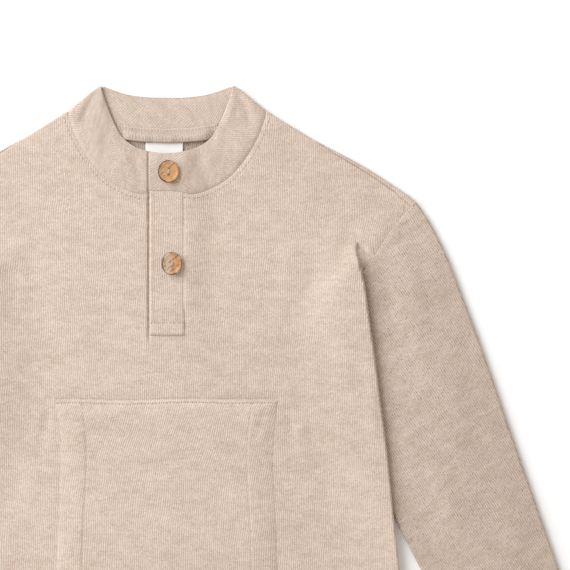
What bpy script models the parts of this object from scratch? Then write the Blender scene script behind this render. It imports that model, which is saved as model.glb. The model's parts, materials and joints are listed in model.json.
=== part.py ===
"""A toddler's henley sweater in fine-rib knit, laid flat on its back with its sleeves down.

X runs across the garment towards the wearer's left, Y up to the neck and Z up from the
surface that it lies on. The tables hold millimetres, and the meshes are made in metres.
Each cut piece is one closed solid: a cloth wall over an underside that follows what the
piece lies on. Neighbours keep a seam gap between them, which sewing would close.
"""

import math
from collections import namedtuple

import bmesh
import bpy
import numpy as np
from mathutils import Matrix, Vector, geometry

MM = 0.001

# Driving sizes, in millimetres
CLOTH = 1.8  # thickness of the knit
SEAM_GAP = 0.3
COLLAR_CLOTH = 2.0  # the stand collar is double
LABEL_CLOTH = 0.4
SOFT_EDGE = 0.6  # how far a panel's top rounds off at its rim
PITCH = 14.0  # spacing of a panel's inner points
RIM_STEP = 9.0

LAYER = CLOTH + SEAM_GAP
SECOND_LAYER = LAYER  # underside of what lies on the back panel
THIRD_LAYER = 2 * LAYER

HEM_Y = -195.0 - SEAM_GAP / 2
HEM_CORNER_RISE = 4.0
PLACKET_HALF = 11.3
PLACKET_FOOT = 27.7
PLACKET_BOX = 8.3
PLACKET_FADE = 14.0  # the left front climbs on to the placket over this height
SLOT_LEFT = -9.0  # the left front ends here, under the upper strip
SLOT_CLEARANCE = 2.0  # the neck's spots keep this far from the slot's corners
BELOW_NECK = 119.0  # lower than every spot of the neck seam
COLLAR_LEVEL = 2.8  # underside of the collar's front
COLLAR_OVERLAP_RISE = COLLAR_CLOTH + SEAM_GAP
OVERLAP_RISE_START = 32.0
OVERLAP_RISE_WIDTH = 20.0
NECK_LIFT = COLLAR_LEVEL - SECOND_LAYER
NECK_LIFT_WIDTH = 25.0
PUFF = 1.2  # ease that keeps the front off the back
PUFF_MIDDLE = -30.0
PUFF_HALF_WIDTH = 118.0
PUFF_SIDE_BLEND = 60.0
PUFF_HALF_HEIGHT = 150.0
PUFF_END_BLEND = 80.0
SLEEVE_PUFF = 2.4
SLEEVE_TOP = 2 * CLOTH + SEAM_GAP
BODY_OVER_SLEEVE = THIRD_LAYER
FRONT_RISE_WIDTH = 22.0
BACK_RISE_WIDTH = 14.0
RISE_LEAD = 2.0  # the rise ends this far before the sleeve starts
CREASE_WIDTH = 1.5
FLAP_TOP = 31.0  # below this height the body's side lies on the sleeve
FLAP_BLEND = 17.0
SIDE_BENDS = (1.5, 6.0, 11.0, 16.0, 24.0)  # the panel's creases, this far in from the sleeve
LEDGE_START = 0.02  # the yoke's ledge climbs one layer beside the shoulder seam
LEDGE_WIDTH = 0.26
UNDERARM_Y = 33.0
SLEEVE_ROWS = (0.0, 0.03, 0.09, 0.16, 0.24, 0.33, 0.43, 0.53, 0.64, 0.75, 0.85, 0.93, 1.0)
SLEEVE_FOLD_WALLS = 1.4  # the inside keeps this many walls from the tube's folds
COLLAR_FOLD_WALLS = 1.2
FOLD_TOP = 95.0
CUFF_Y = -182.0
POCKET_TOP = -15.3
POCKET_FOOT = -145.0
BUTTON_RADIUS = 7.5
BUTTON_THICKNESS = 2.4
BUTTON_HOLE_RADIUS = 0.95
BUTTON_HOLE_SPACING = 4.1
BUTTON_OVAL = 0.95  # width over height

Spot = namedtuple("Spot", "x y")
Side = namedtuple("Side", "y edge sleeve lift")
Edge = namedtuple("Edge", "y x")
Button = namedtuple("Button", "name x y tilt")
Turning = namedtuple("Turning", "inset height")

# The wearer's left side, by height: the body's edge, the edge of the sleeve that it lies
# on, and how far the front rises there. The edge and the sleeve meet at the armhole seam.
SIDE = (
    Side(-195.0, 160.0, 201.6, 4.2),
    Side(-130.0, 154.0, 170.0, 4.2),
    Side(-88.0, 149.4, 149.5, 4.2),
    Side(-45.8, 145.1, 136.5, 4.2),
    Side(-12.7, 140.7, 128.8, 4.2),
    Side(18.0, 136.9, 123.6, 4.2),
    Side(33.0, 134.8, 122.0, 4.2),
    Side(48.2, 132.9, 123.3, 4.2),
    Side(63.5, 131.1, 126.0, 3.3),
    Side(75.5, 128.6, 128.6, 2.5),
    Side(86.9, 125.7, 125.7, 1.2),
    Side(95.0, 124.3, 124.3, 0.0),
)
# Seam lines and outlines of the wearer's left half
SHOULDER_FOLD = (
    Spot(66.5, 177.3),
    Spot(97.0, 158.7),
    Spot(133.9, 138.8),
    Spot(152.2, 126.9),
    Spot(161.7, 120.5),
    Spot(166.5, 116.1),
)
SHOULDER_SEAM = (
    Spot(97.0, 158.7),
    Spot(109.3, 150.4),
    Spot(133.9, 135.4),
    Spot(152.2, 122.8),
    Spot(163.1, 113.3),
)
ARMHOLE = (
    Spot(166.5, 116.1),
    Spot(163.1, 113.3),
    Spot(155.5, 104.9),
    Spot(147.8, 94.7),
    Spot(139.9, 82.3),
    Spot(134.5, 77.3),
    Spot(128.6, 75.5),
)
SLEEVE_OUTER = (
    Spot(166.5, 116.1),
    Spot(170.9, 109.9),
    Spot(182.8, 88.5),
    Spot(200.0, 46.0),
    Spot(235.0, -53.0),
    Spot(270.7, -154.7),
)
FRONT_NECK = (
    Spot(66.5, 177.3),
    Spot(60.2, 159.9),
    Spot(48.7, 141.5),
    Spot(38.5, 131.3),
    Spot(29.6, 126.2),
    Spot(17.3, 122.5),
    Spot(7.0, 124.0),
    Spot(-11.3, 124.4),
)
BACK_NECK = (
    Spot(66.5, 177.3),
    Spot(45.0, 167.5),
    Spot(22.0, 162.0),
    Spot(0.0, 160.7),
)
FRONT_COLLAR_TOP = (
    Spot(44.7, 195.0),
    Spot(39.8, 181.0),
    Spot(35.1, 169.4),
    Spot(29.6, 159.9),
    Spot(22.8, 154.5),
    Spot(11.3, 150.4),
    Spot(-11.3, 149.0),
)
BACK_COLLAR_TOP = (
    Spot(44.7, 195.0),
    Spot(36.3, 191.6),
    Spot(26.7, 188.7),
    Spot(12.0, 186.8),
    Spot(0.0, 186.6),
)
POCKET_SIDE = (
    Edge(-145.0, 74.0),
    Edge(-100.0, 72.5),
    Edge(-60.7, 70.5),
    Edge(-46.7, 70.5),
    Edge(-21.3, 73.1),
    Edge(-15.3, 74.0),
)
BUTTONS = (
    Button("button_1", 1.4, 136.5, math.radians(18)),
    Button("button_2", 3.6, 75.5, math.radians(22)),
)

# A button's section: how far in from its edge, and how high over its middle plane
BUTTON_PROFILE = (
    Turning(0.9, -1.2),
    Turning(0.0, -0.4),
    Turning(0.0, 0.7),
    Turning(0.4, 1.2),
    Turning(1.2, 1.2),
    Turning(1.9, 0.75),
)
LABEL_BOX = (Spot(-14.3, 146.0), Spot(10.7, 156.5))

COLOURS = {
    "cloth": (0.680, 0.552, 0.456),
    "label_cloth": (0.86, 0.83, 0.80),
    "coconut_shell": (0.678, 0.366, 0.162),
}


def smooth(t):
    """0 up to t = 0, 1 from t = 1, and a soft step between them."""
    t = min(max(t, 0.0), 1.0)
    return t * t * (3.0 - 2.0 * t)


def curve(at, values):
    """A smooth function through the values given at rising places."""
    at = np.array(at, float)
    values = np.array(values, float)
    slopes = np.gradient(values, at)

    def function(place):
        place = min(max(place, at[0]), at[-1])
        i = min(int(np.searchsorted(at, place, side="right")) - 1, len(at) - 2)
        width = at[i + 1] - at[i]
        t = (place - at[i]) / width
        start = (1 + 2 * t) * (1 - t) ** 2 * values[i] + t * (1 - t) ** 2 * width * slopes[i]
        end = t * t * (3 - 2 * t) * values[i + 1] + t * t * (t - 1) * width * slopes[i + 1]
        return float(start + end)

    return function


def column(rows, name):
    """One of a table's columns as a smooth function of y."""
    return curve([row.y for row in rows], [getattr(row, name) for row in rows])


def path(spots, count=None, step=RIM_STEP):
    """Evenly spaced spots on a smooth line through the given ones, both ends kept."""
    spots = np.array([(spot[0], spot[1]) for spot in spots], float)
    run = np.concatenate([[0.0], np.cumsum(np.hypot(*np.diff(spots, axis=0).T))])
    count = count or max(2, round(run[-1] / step) + 1)
    across = curve(run, spots[:, 0])
    along = curve(run, spots[:, 1])
    return [Spot(across(s), along(s)) for s in np.linspace(0.0, run[-1], count)]


def mirrored(spots):
    return [Spot(-spot.x, spot.y) for spot in spots]


def span(start, end, step):
    count = max(2, math.ceil(abs(end - start) / step) + 1)
    return np.linspace(start, end, count)


edge_at = column(SIDE, "edge")
sleeve_at = column(SIDE, "sleeve")
lift_at = column(SIDE, "lift")


def side_lift(x, y, rise_width):
    """How far the body's side has risen, from 0 to 1, on its way over the sleeve."""
    top_of_rise = sleeve_at(y) - RISE_LEAD
    return smooth((abs(x) - top_of_rise + rise_width) / rise_width)


def neck_lift(x, y):
    gap = min(math.dist((abs(x), y), spot) for spot in NECK_LINE)
    return NECK_LIFT * smooth(1.0 - gap / NECK_LIFT_WIDTH)


NECK_LINE = path(FRONT_NECK, step=4.0)
SHOULDER_LINE = path(SHOULDER_SEAM, step=6.0)
ARMHOLE_LINE = [ARMHOLE[0]] + path(ARMHOLE[1:], step=6.5)
HIDDEN_ARMHOLE = [Spot(sleeve_at(y), y) for y in span(ARMHOLE[-1].y, UNDERARM_Y, 7.0)][1:]


def neck_y(x):
    """Height of the wearer's left front's neck seam near the opening."""
    line = NECK_LINE[::-1]
    return float(np.interp(x, [spot.x for spot in line], [spot.y for spot in line]))


def puff(x, y):
    """The ease of the front, greatest in the middle of the body."""
    sideways = smooth((PUFF_HALF_WIDTH - abs(x)) / PUFF_SIDE_BLEND)
    endways = smooth((PUFF_HALF_HEIGHT - abs(y - PUFF_MIDDLE)) / PUFF_END_BLEND)
    return PUFF * sideways * endways


def body_level(x, y):
    """Underside of what lies next on the back panel, away from the sleeves."""
    return SECOND_LAYER + neck_lift(x, y) + puff(x, y)


def overlap_rise(x):
    return smooth((OVERLAP_RISE_START - x) / OVERLAP_RISE_WIDTH)


def front_underside(x, y):
    side = lift_at(y) * side_lift(x, y, FRONT_RISE_WIDTH)
    past_fold = (abs(x) - edge_at(y)) / CREASE_WIDTH
    side *= 1.0 - smooth(past_fold)
    placket = 0.0
    if x > 0.0:
        above_box = smooth((y - PLACKET_FOOT - PLACKET_BOX) / PLACKET_FADE)
        placket = LAYER * overlap_rise(x) * above_box
    return body_level(x, y) + side + placket


def front_top(x, y):
    return front_underside(x, y) + CLOTH


def back_underside(x, y):
    over = smooth((FLAP_TOP + FLAP_BLEND - y) / FLAP_BLEND)
    return BODY_OVER_SLEEVE * over * side_lift(x, y, BACK_RISE_WIDTH)


def distance(point, line):
    """From a point to a line of spots, and on which side of it the point is."""
    best = (math.inf, 0.0)
    for a, b in zip(line, line[1:]):
        run = (b[0] - a[0], b[1] - a[1])
        length = run[0] ** 2 + run[1] ** 2
        t = ((point[0] - a[0]) * run[0] + (point[1] - a[1]) * run[1]) / length
        t = min(max(t, 0.0), 1.0)
        gap = math.hypot(point[0] - a[0] - t * run[0], point[1] - a[1] - t * run[1])
        turn = run[0] * (point[1] - a[1]) - run[1] * (point[0] - a[0])
        if gap < best[0] - 1e-9:
            best = (gap, turn)
    return best


def inside(point, outline):
    crossings = 0
    for a, b in zip(outline, outline[1:] + outline[:1]):
        if (a[1] > point[1]) != (b[1] > point[1]):
            at = a[0] + (point[1] - a[1]) / (b[1] - a[1]) * (b[0] - a[0])
            crossings += point[0] < at
    return crossings % 2 == 1


def inset(outline, by):
    """The outline moved inwards, by its corners' own angles. It runs anticlockwise."""
    moved = []
    for before, here, after in zip(outline[-1:] + outline[:-1], outline, outline[1:] + outline[:1]):
        first = Vector((here[0] - before[0], here[1] - before[1])).normalized()
        second = Vector((after[0] - here[0], after[1] - here[1])).normalized()
        inward = Vector((-first.y - second.y, first.x + second.x)).normalized()
        cosine = max(inward.dot(Vector((-first.y, first.x))), 0.5)
        moved.append(Spot(here[0] + inward.x * by / cosine, here[1] + inward.y * by / cosine))
    return moved


def inner_points(rim, creases, pitch):
    """Points of a triangular net that keep clear of the rim and of the creases."""
    closed = rim + rim[:1]
    low = Spot(min(s.x for s in rim), min(s.y for s in rim))
    high = Spot(max(s.x for s in rim), max(s.y for s in rim))
    row_step = pitch * math.sqrt(3) / 2
    found = []
    for i in range(round((high.y - low.y) / row_step) + 1):
        for k in range(round((high.x - low.x) / pitch) + 2):
            spot = Spot(low.x + (k - 0.5 * (i % 2)) * pitch, low.y + i * row_step)
            if not inside(spot, rim) or distance(spot, closed)[0] < 0.45 * pitch:
                continue
            if all(distance(spot, crease)[0] > 0.35 * pitch for crease in creases):
                found.append(spot)
    return found


def material(name, colour, roughness=0.9):
    made = bpy.data.materials.new(name)
    made.use_nodes = True
    shader = made.node_tree.nodes["Principled BSDF"]
    shader.inputs["Base Color"].default_value = (*colour, 1.0)
    shader.inputs["Roughness"].default_value = roughness
    shader.inputs["Metallic"].default_value = 0.0
    return made


def solid(name, points, faces, colour, roughness=0.9):
    """An object from points in millimetres, its faces turned outwards."""
    mesh = bpy.data.meshes.new(name)
    mesh.from_pydata([[c * MM for c in point] for point in points], [], faces)
    work = bmesh.new()
    work.from_mesh(mesh)
    bmesh.ops.recalc_face_normals(work, faces=work.faces)
    work.to_mesh(mesh)
    work.free()
    mesh.shade_smooth()
    mesh.set_sharp_from_angle(angle=math.radians(40))
    mesh.materials.append(material(name + "_finish", COLOURS[colour], roughness))
    made = bpy.data.objects.new(name, mesh)
    bpy.context.scene.collection.objects.link(made)
    return made


def slope(height, x, y, step=0.5):
    across = (height(x + step, y) - height(x - step, y)) / (2 * step)
    along = (height(x, y + step) - height(x, y - step)) / (2 * step)
    return math.hypot(across, along)


def panel(name, outline, underside, cloth=CLOTH, creases=(), pitch=PITCH, raised=None, colour="cloth"):
    """A cloth panel: its outline filled with triangles, its underside on what it lies on
    and its top one wall higher, rounded off a little at the rim."""
    rim = inset(outline, SEAM_GAP / 2)
    closed = rim + rim[:1]
    spots = list(rim)
    edges = []
    for crease in creases:
        corners = []
        for spot in crease:
            nearest = min(range(len(rim)), key=lambda i: math.dist(spot, rim[i]))
            if math.dist(spot, rim[nearest]) < 1.0:
                corners.append(nearest)
            elif inside(spot, rim) and distance(spot, closed)[0] > 1.0:
                corners.append(len(spots))
                spots.append(spot)
        edges += list(zip(corners, corners[1:]))
    spots += inner_points(rim, creases, pitch)
    flat, _, triangles, *_ = geometry.delaunay_2d_cdt(
        [Vector(spot) for spot in spots], edges, [list(range(len(rim)))], 1, 1e-5
    )
    sides = {}
    for triangle in triangles:
        for a, b in zip(triangle, triangle[1:] + triangle[:1]):
            sides[(a, b)] = True
    border = [(a, b) for a, b in sides if (b, a) not in sides]
    on_rim = {a for a, _ in border}
    lower = []
    upper = []
    for i, spot in enumerate(flat):
        z = underside(spot.x, spot.y)
        wall = cloth * min(math.hypot(1.0, slope(underside, spot.x, spot.y)), 1.5)
        if i in on_rim:
            wall -= SOFT_EDGE * min(1.0, cloth / CLOTH)
        if raised:
            wall += raised(spot.x, spot.y)
        lower.append((spot.x, spot.y, z))
        upper.append((spot.x, spot.y, z + wall))
    count = len(flat)
    faces = [tuple(triangle) for triangle in triangles]
    faces += [tuple(i + count for i in reversed(triangle)) for triangle in triangles]
    faces += [(a, b, b + count, a + count) for a, b in border]
    return solid(name, lower + upper, faces, colour)


def side_creases(top):
    """Lines down the body's side where its rise over the sleeve bends, and the mirror."""
    heights = span(top, HEM_Y + 4.0, 11.0)
    lines = []
    for back in SIDE_BENDS:
        line = [Spot(sleeve_at(y) - back, y) for y in heights]
        lines += [line, mirrored(line)]
    return lines


def hem(half_width, count=24):
    """The hem from the wearer's right side to the left, a little lower in the middle."""
    return [
        Spot(x, HEM_Y + HEM_CORNER_RISE * (x / half_width) ** 2)
        for x in np.linspace(-half_width, half_width, count)
    ]


def body_side(top):
    """The body's left edge, from above the hem's corner up to a height."""
    return [Spot(edge_at(y), y) for y in span(HEM_Y + HEM_CORNER_RISE, top, RIM_STEP)][1:]


def backwards(spots):
    return list(reversed(spots))


def beyond_seam(spot):
    """A spot moved one seam gap across the shoulder seam, which slants like its ends."""
    start, end = SHOULDER_SEAM[0], SHOULDER_SEAM[-1]
    length = math.dist(start, end)
    across = (start.y - end.y) / length
    up = (end.x - start.x) / length
    return Spot(spot.x + SEAM_GAP * across, spot.y + SEAM_GAP * up)


def make_back():
    hidden = HIDDEN_ARMHOLE + [Spot(sleeve_at(FLAP_TOP), FLAP_TOP)]
    shoulder = path(SHOULDER_FOLD[:2]) + path(SHOULDER_FOLD[1:])[1:]
    neck = path(BACK_NECK)
    left_half = body_side(FLAP_TOP - 2.0) + backwards(hidden) + backwards(ARMHOLE_LINE)
    left_half += backwards(shoulder)[1:] + neck[1:]
    outline = hem(edge_at(HEM_Y + HEM_CORNER_RISE)) + left_half
    outline += [Spot(-spot.x, spot.y) for spot in reversed(left_half[:-1])]
    ledge = [beyond_seam(spot) for spot in SHOULDER_LINE[1:-1]]

    def yoke(x, y):
        """The back comes over the shoulder's fold and down to the seam on the front."""
        if y < SHOULDER_SEAM[-1].y - 1.0 or abs(x) < SHOULDER_SEAM[0].x:
            return 0.0
        gap, turn = distance((abs(x), y), SHOULDER_LINE)
        if turn <= 0.0:
            return 0.0
        return LAYER * min(max(gap - LEDGE_START, 0.0) / LEDGE_WIDTH, 1.0)

    creases = side_creases(FLAP_TOP - 4.0)
    for line in (SHOULDER_LINE, ledge):
        creases += [line, mirrored(line)]
    return panel("back", outline, back_underside, creases=creases, raised=yoke)


def make_front():
    hidden_edge = body_side(ARMHOLE[-1].y - 1.0)
    shoulder = path(SHOULDER_FOLD[:2])
    neck = path(FRONT_NECK, count=26)
    left_half = hidden_edge + backwards(ARMHOLE_LINE[1:]) + backwards(SHOULDER_LINE)[1:]
    left_half += backwards(shoulder)[1:] + neck[1:]
    slot_y = PLACKET_FOOT + PLACKET_BOX
    right_edge = PLACKET_HALF + SLOT_CLEARANCE
    left_edge = SLOT_CLEARANCE - SLOT_LEFT
    right_of_slot = [spot for spot in left_half if spot.y < BELOW_NECK or spot.x > right_edge]
    left_of_slot = [spot for spot in left_half if spot.y < BELOW_NECK or spot.x > left_edge]
    slot = [Spot(PLACKET_HALF, y) for y in span(neck_y(PLACKET_HALF), slot_y, 11.0)]
    slot += [Spot(SLOT_LEFT, y) for y in span(slot_y, neck_y(-SLOT_LEFT), 11.0)]
    outline = hem(edge_at(HEM_Y + HEM_CORNER_RISE)) + right_of_slot + slot
    outline += [Spot(-spot.x, spot.y) for spot in reversed(left_of_slot)]
    creases = side_creases(ARMHOLE[-1].y - 3.0)
    for beyond in (0.0, CREASE_WIDTH):
        fold = [Spot(edge_at(y) + beyond, y) for y in span(FOLD_TOP, ARMHOLE[-1].y, 5.0)]
        creases += [fold, mirrored(fold)]
    return panel("front", outline, front_underside, creases=creases)


def make_placket_strip(name, left, right, foot, layer, side):
    """A strip down the front opening. Its head ends at the neck seam of its own side."""
    middle = (left + right) / 2
    outline = [Spot(left, foot), Spot(middle, foot)]
    outline += [Spot(right, y) for y in span(foot, neck_y(side * right), 12.0)]
    outline += [Spot(middle, neck_y(side * middle))]
    outline += [Spot(left, y) for y in span(neck_y(side * left), foot, 12.0)[:-1]]

    def underside(x, y):
        return body_level(x, y) + layer

    return panel(name, outline, underside, pitch=9.0)


def make_pocket():
    side_at = column(POCKET_SIDE, "x")
    side = [Spot(side_at(y), y) for y in span(POCKET_FOOT, POCKET_TOP, 10.0)]
    width = side_at(POCKET_FOOT)
    foot = [Spot(x, POCKET_FOOT) for x in np.linspace(-width, width, 12)]
    top = [Spot(x, POCKET_TOP) for x in np.linspace(side[-1].x, -side[-1].x, 12)]
    outline = foot + side[1:] + top[1:] + [Spot(-s.x, s.y) for s in reversed(side[1:-1])]

    def underside(x, y):
        return front_top(x, y) + SEAM_GAP

    return panel("pocket", outline, underside)


def make_label():
    low, high = LABEL_BOX
    outline = [low, Spot(high.x, low.y), high, Spot(low.x, high.y)]
    return panel("label", outline, lambda x, y: SECOND_LAYER, cloth=LABEL_CLOTH, colour="label_cloth")


def ring_solid(name, outer, inner, colour, closed_ring):
    """A wall between two nets of points, row by row, its open ends closed by faces."""
    rows = len(outer)
    wide = len(outer[0])
    points = [point for net in (outer, inner) for row in net for point in row]

    def number(net, i, k):
        return net * rows * wide + i * wide + k % wide

    faces = []
    last = wide if closed_ring else wide - 1
    for i in range(rows - 1):
        for k in range(last):
            for net in (0, 1):
                corners = ((i, k), (i, k + 1), (i + 1, k + 1), (i + 1, k))
                faces.append(tuple(number(net, *corner) for corner in corners))
    for k in range(last):
        for i in (0, rows - 1):
            faces.append((number(0, i, k), number(0, i, k + 1), number(1, i, k + 1), number(1, i, k)))
    if not closed_ring:
        for i in range(rows - 1):
            for k in (0, wide - 1):
                faces.append((number(0, i, k), number(0, i + 1, k), number(1, i + 1, k), number(1, i, k)))
    return solid(name, points, faces, colour)


def make_sleeve(name, side):
    """A flattened tube. Rows run from the armhole to the cuff, columns round the tube."""
    seam = ARMHOLE_LINE + HIDDEN_ARMHOLE
    under = [Spot(sleeve_at(y), y) for y in span(UNDERARM_Y, CUFF_Y, 8.0)]
    outer_edge = path(SLEEVE_OUTER, step=5.0)

    def shares(line):
        run = np.concatenate([[0.0], np.cumsum([math.dist(a, b) for a, b in zip(line, line[1:])])])
        return run / run[-1]

    def along(line):
        run = shares(line)
        xs = [spot[0] for spot in line]
        ys = [spot[1] for spot in line]
        return lambda t: Vector((float(np.interp(t, run, xs)), float(np.interp(t, run, ys))))

    columns = shares(seam)[1:-1]
    head = along(seam)
    cuff = along([outer_edge[-1], under[-1]])
    outside = along(outer_edge)
    underarm = along(under)

    def plan(u, v):
        """Blends the four edges of the laid sleeve into its inside."""
        u = max(u, 0.0)
        across = (1 - v) * outside(u) + v * underarm(u)
        down = (1 - u) * head(v) + u * cuff(v)
        top = (1 - u) * ((1 - v) * head(0) + v * head(1))
        foot = u * ((1 - v) * cuff(0) + v * cuff(1))
        return across + down - top - foot

    def puffed(u, v):
        over_length = smooth(u / 0.25) * (1.0 - 0.6 * smooth((u - 0.8) / 0.2))
        return SLEEVE_PUFF * over_length * math.sin(math.pi * min(v / 0.8, 1.0)) ** 1.5

    outer = []
    inner = []
    middle = SLEEVE_TOP / 2
    for u in SLEEVE_ROWS:
        ahead = (plan(u + 0.02, 0.5) - plan(u, 0.5)).normalized() if u < 1 else Vector((0.0, 0.0))
        nudge = SEAM_GAP * ahead if u == 0.0 else Vector((0.0, 0.0))
        edge_out = plan(u, 0.0) + nudge
        edge_in = plan(u, 1.0) + nudge
        across = (edge_in - edge_out).normalized()
        tops = [plan(u, v) + nudge for v in columns]
        outside_row = [(*edge_out, middle)]
        outside_row += [(*p, SLEEVE_TOP + puffed(u, v)) for p, v in zip(tops, columns)]
        outside_row += [(*edge_in, middle)]
        outside_row += [(*p, 0.0) for p in reversed(tops)]
        wall = across * CLOTH
        inside_tops = [
            p + wall * max(0.0, 1 - v / 0.1) - wall * max(0.0, 1 - (1 - v) / 0.1)
            for p, v in zip(tops, columns)
        ]
        inside_row = [(*(edge_out + SLEEVE_FOLD_WALLS * wall), middle)]
        inside_row += [
            (*p, SLEEVE_TOP - CLOTH + puffed(u, v)) for p, v in zip(inside_tops, columns)
        ]
        inside_row += [(*(edge_in - SLEEVE_FOLD_WALLS * wall), middle)]
        inside_row += [(*p, CLOTH) for p in reversed(inside_tops)]
        outer.append([(side * x, y, z) for x, y, z in outside_row])
        inner.append([(side * x, y, z) for x, y, z in inside_row])
    return ring_solid(name, outer, inner, "cloth", True)


def make_collar():
    """A double band round the neck, folded flat at both sides. Its ends overlap in front,
    the wearer's left end on top."""
    Station = namedtuple("Station", "base top outer_z inner_z pull")
    top_level = COLLAR_LEVEL + COLLAR_CLOTH
    fold_z = top_level / 2

    def half(over):
        """From the back's middle round the wearer's left side to the front end."""
        back = [
            Station(base, top, 0.0, COLLAR_CLOTH, 0.0)
            for base, top in zip(reversed(path(BACK_NECK, 9)), reversed(path(BACK_COLLAR_TOP, 9)))
        ][:-1]
        pull = COLLAR_CLOTH * COLLAR_FOLD_WALLS
        fold = [Station(FRONT_NECK[0], FRONT_COLLAR_TOP[0], fold_z, fold_z, pull)]
        front = []
        for base, top in zip(path(FRONT_NECK, 17)[1:], path(FRONT_COLLAR_TOP, 17)[1:]):
            rise = COLLAR_OVERLAP_RISE * overlap_rise(base.x) if over else 0.0
            front.append(Station(base, top, top_level + rise, COLLAR_LEVEL + rise, 0.0))
        return back + fold + front

    left = half(True)
    right = half(False)
    stations = [(station, -1) for station in reversed(right[1:])] + [(s, 1) for s in left]
    heights = (0.0, 0.33, 0.67, 1.0)
    outer = []
    inner = []
    for station, side in stations:
        base = Vector(station.base)
        top = Vector(station.top)
        up = (top - base).normalized()
        base = base + up * SEAM_GAP
        inward = Vector((-up.y, up.x)) if up.x < 0 else Vector((up.y, -up.x))
        inward = -inward if inward.y > 0 else inward
        outer_row = []
        inner_row = []
        for height in heights:
            spot = base.lerp(top, height)
            pulled = spot + inward * station.pull
            outer_row.append((side * spot.x, spot.y, station.outer_z))
            inner_row.append((side * pulled.x, pulled.y, station.inner_z))
        outer.append(outer_row)
        inner.append(inner_row)
    return ring_solid("collar", outer, inner, "cloth", False)


def make_button(button, base):
    """A turned disc with a low rim, two holes drilled through, tilted on its thread."""
    radius = BUTTON_RADIUS
    half = BUTTON_THICKNESS / 2
    around = 40
    rings = []
    for turning in BUTTON_PROFILE:
        r = radius - turning.inset
        turns = np.linspace(0, 2 * math.pi, around, False)
        rings.append([(r * math.cos(a), r * math.sin(a), turning.height) for a in turns])
    points = [point for ring in rings for point in ring]
    faces = [tuple(reversed(range(around)))]
    for i in range(len(rings) - 1):
        for k in range(around):
            n = (k + 1) % around
            faces.append((i * around + k, i * around + n, (i + 1) * around + n, (i + 1) * around + k))
    last = (len(rings) - 1) * around
    faces.append(tuple(range(last, last + around)))
    disc = solid(button.name, points, faces, "coconut_shell", roughness=0.45)
    for place in (-0.5, 0.5):
        bpy.ops.mesh.primitive_cylinder_add(
            vertices=16,
            radius=BUTTON_HOLE_RADIUS * MM,
            depth=4 * BUTTON_THICKNESS * MM,
            location=(0.0, place * BUTTON_HOLE_SPACING * MM, 0.0),
        )
        drill = bpy.context.object
        drill.name = f"{button.name}_drill"
        drill.hide_render = True
        drill.display_type = "WIRE"
        drill.parent = disc
        cut = disc.modifiers.new("hole", "BOOLEAN")
        cut.operation = "DIFFERENCE"
        cut.object = drill
    disc.data.transform(Matrix.Diagonal((BUTTON_OVAL, 1.0, 1.0, 1.0)))
    reach = radius * BUTTON_OVAL * math.sin(button.tilt) + half * math.cos(button.tilt)
    disc.location = (button.x * MM, button.y * MM, (base + SEAM_GAP + reach) * MM)
    disc.rotation_euler = (0.0, button.tilt, 0.0)
    return disc


def clear_scene():
    for thing in list(bpy.data.objects):
        bpy.data.objects.remove(thing, do_unlink=True)


def build():
    clear_scene()
    make_back()
    make_front()
    make_sleeve("sleeve_left", 1)
    make_sleeve("sleeve_right", -1)
    make_collar()
    make_label()
    make_placket_strip("placket_under", SLOT_LEFT, PLACKET_HALF, PLACKET_FOOT + PLACKET_BOX, 0.0, -1)
    make_placket_strip("placket_upper", -PLACKET_HALF, PLACKET_HALF, PLACKET_FOOT, LAYER, 1)
    make_pocket()
    on_collar, on_placket = BUTTONS
    make_button(on_collar, COLLAR_LEVEL + COLLAR_OVERLAP_RISE + COLLAR_CLOTH)
    make_button(on_placket, body_level(on_placket.x, on_placket.y) + LAYER + CLOTH)


build()
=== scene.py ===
# %% [markdown]
# # A toddler's henley sweater, laid flat
#
# The garment is a tube of fine-rib knit with two flattened sleeves, a stand collar, a
# half placket with two coconut buttons and a kangaroo pocket. This lesson dresses its
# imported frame: each panel becomes a thin shell whose columns of points follow the knit's
# wales, so that the ribs are real shape. Loading the frame comes first, because every
# piece has to lie where the frame says.

# %% Load the frame
import json
import math
from collections import namedtuple

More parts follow.
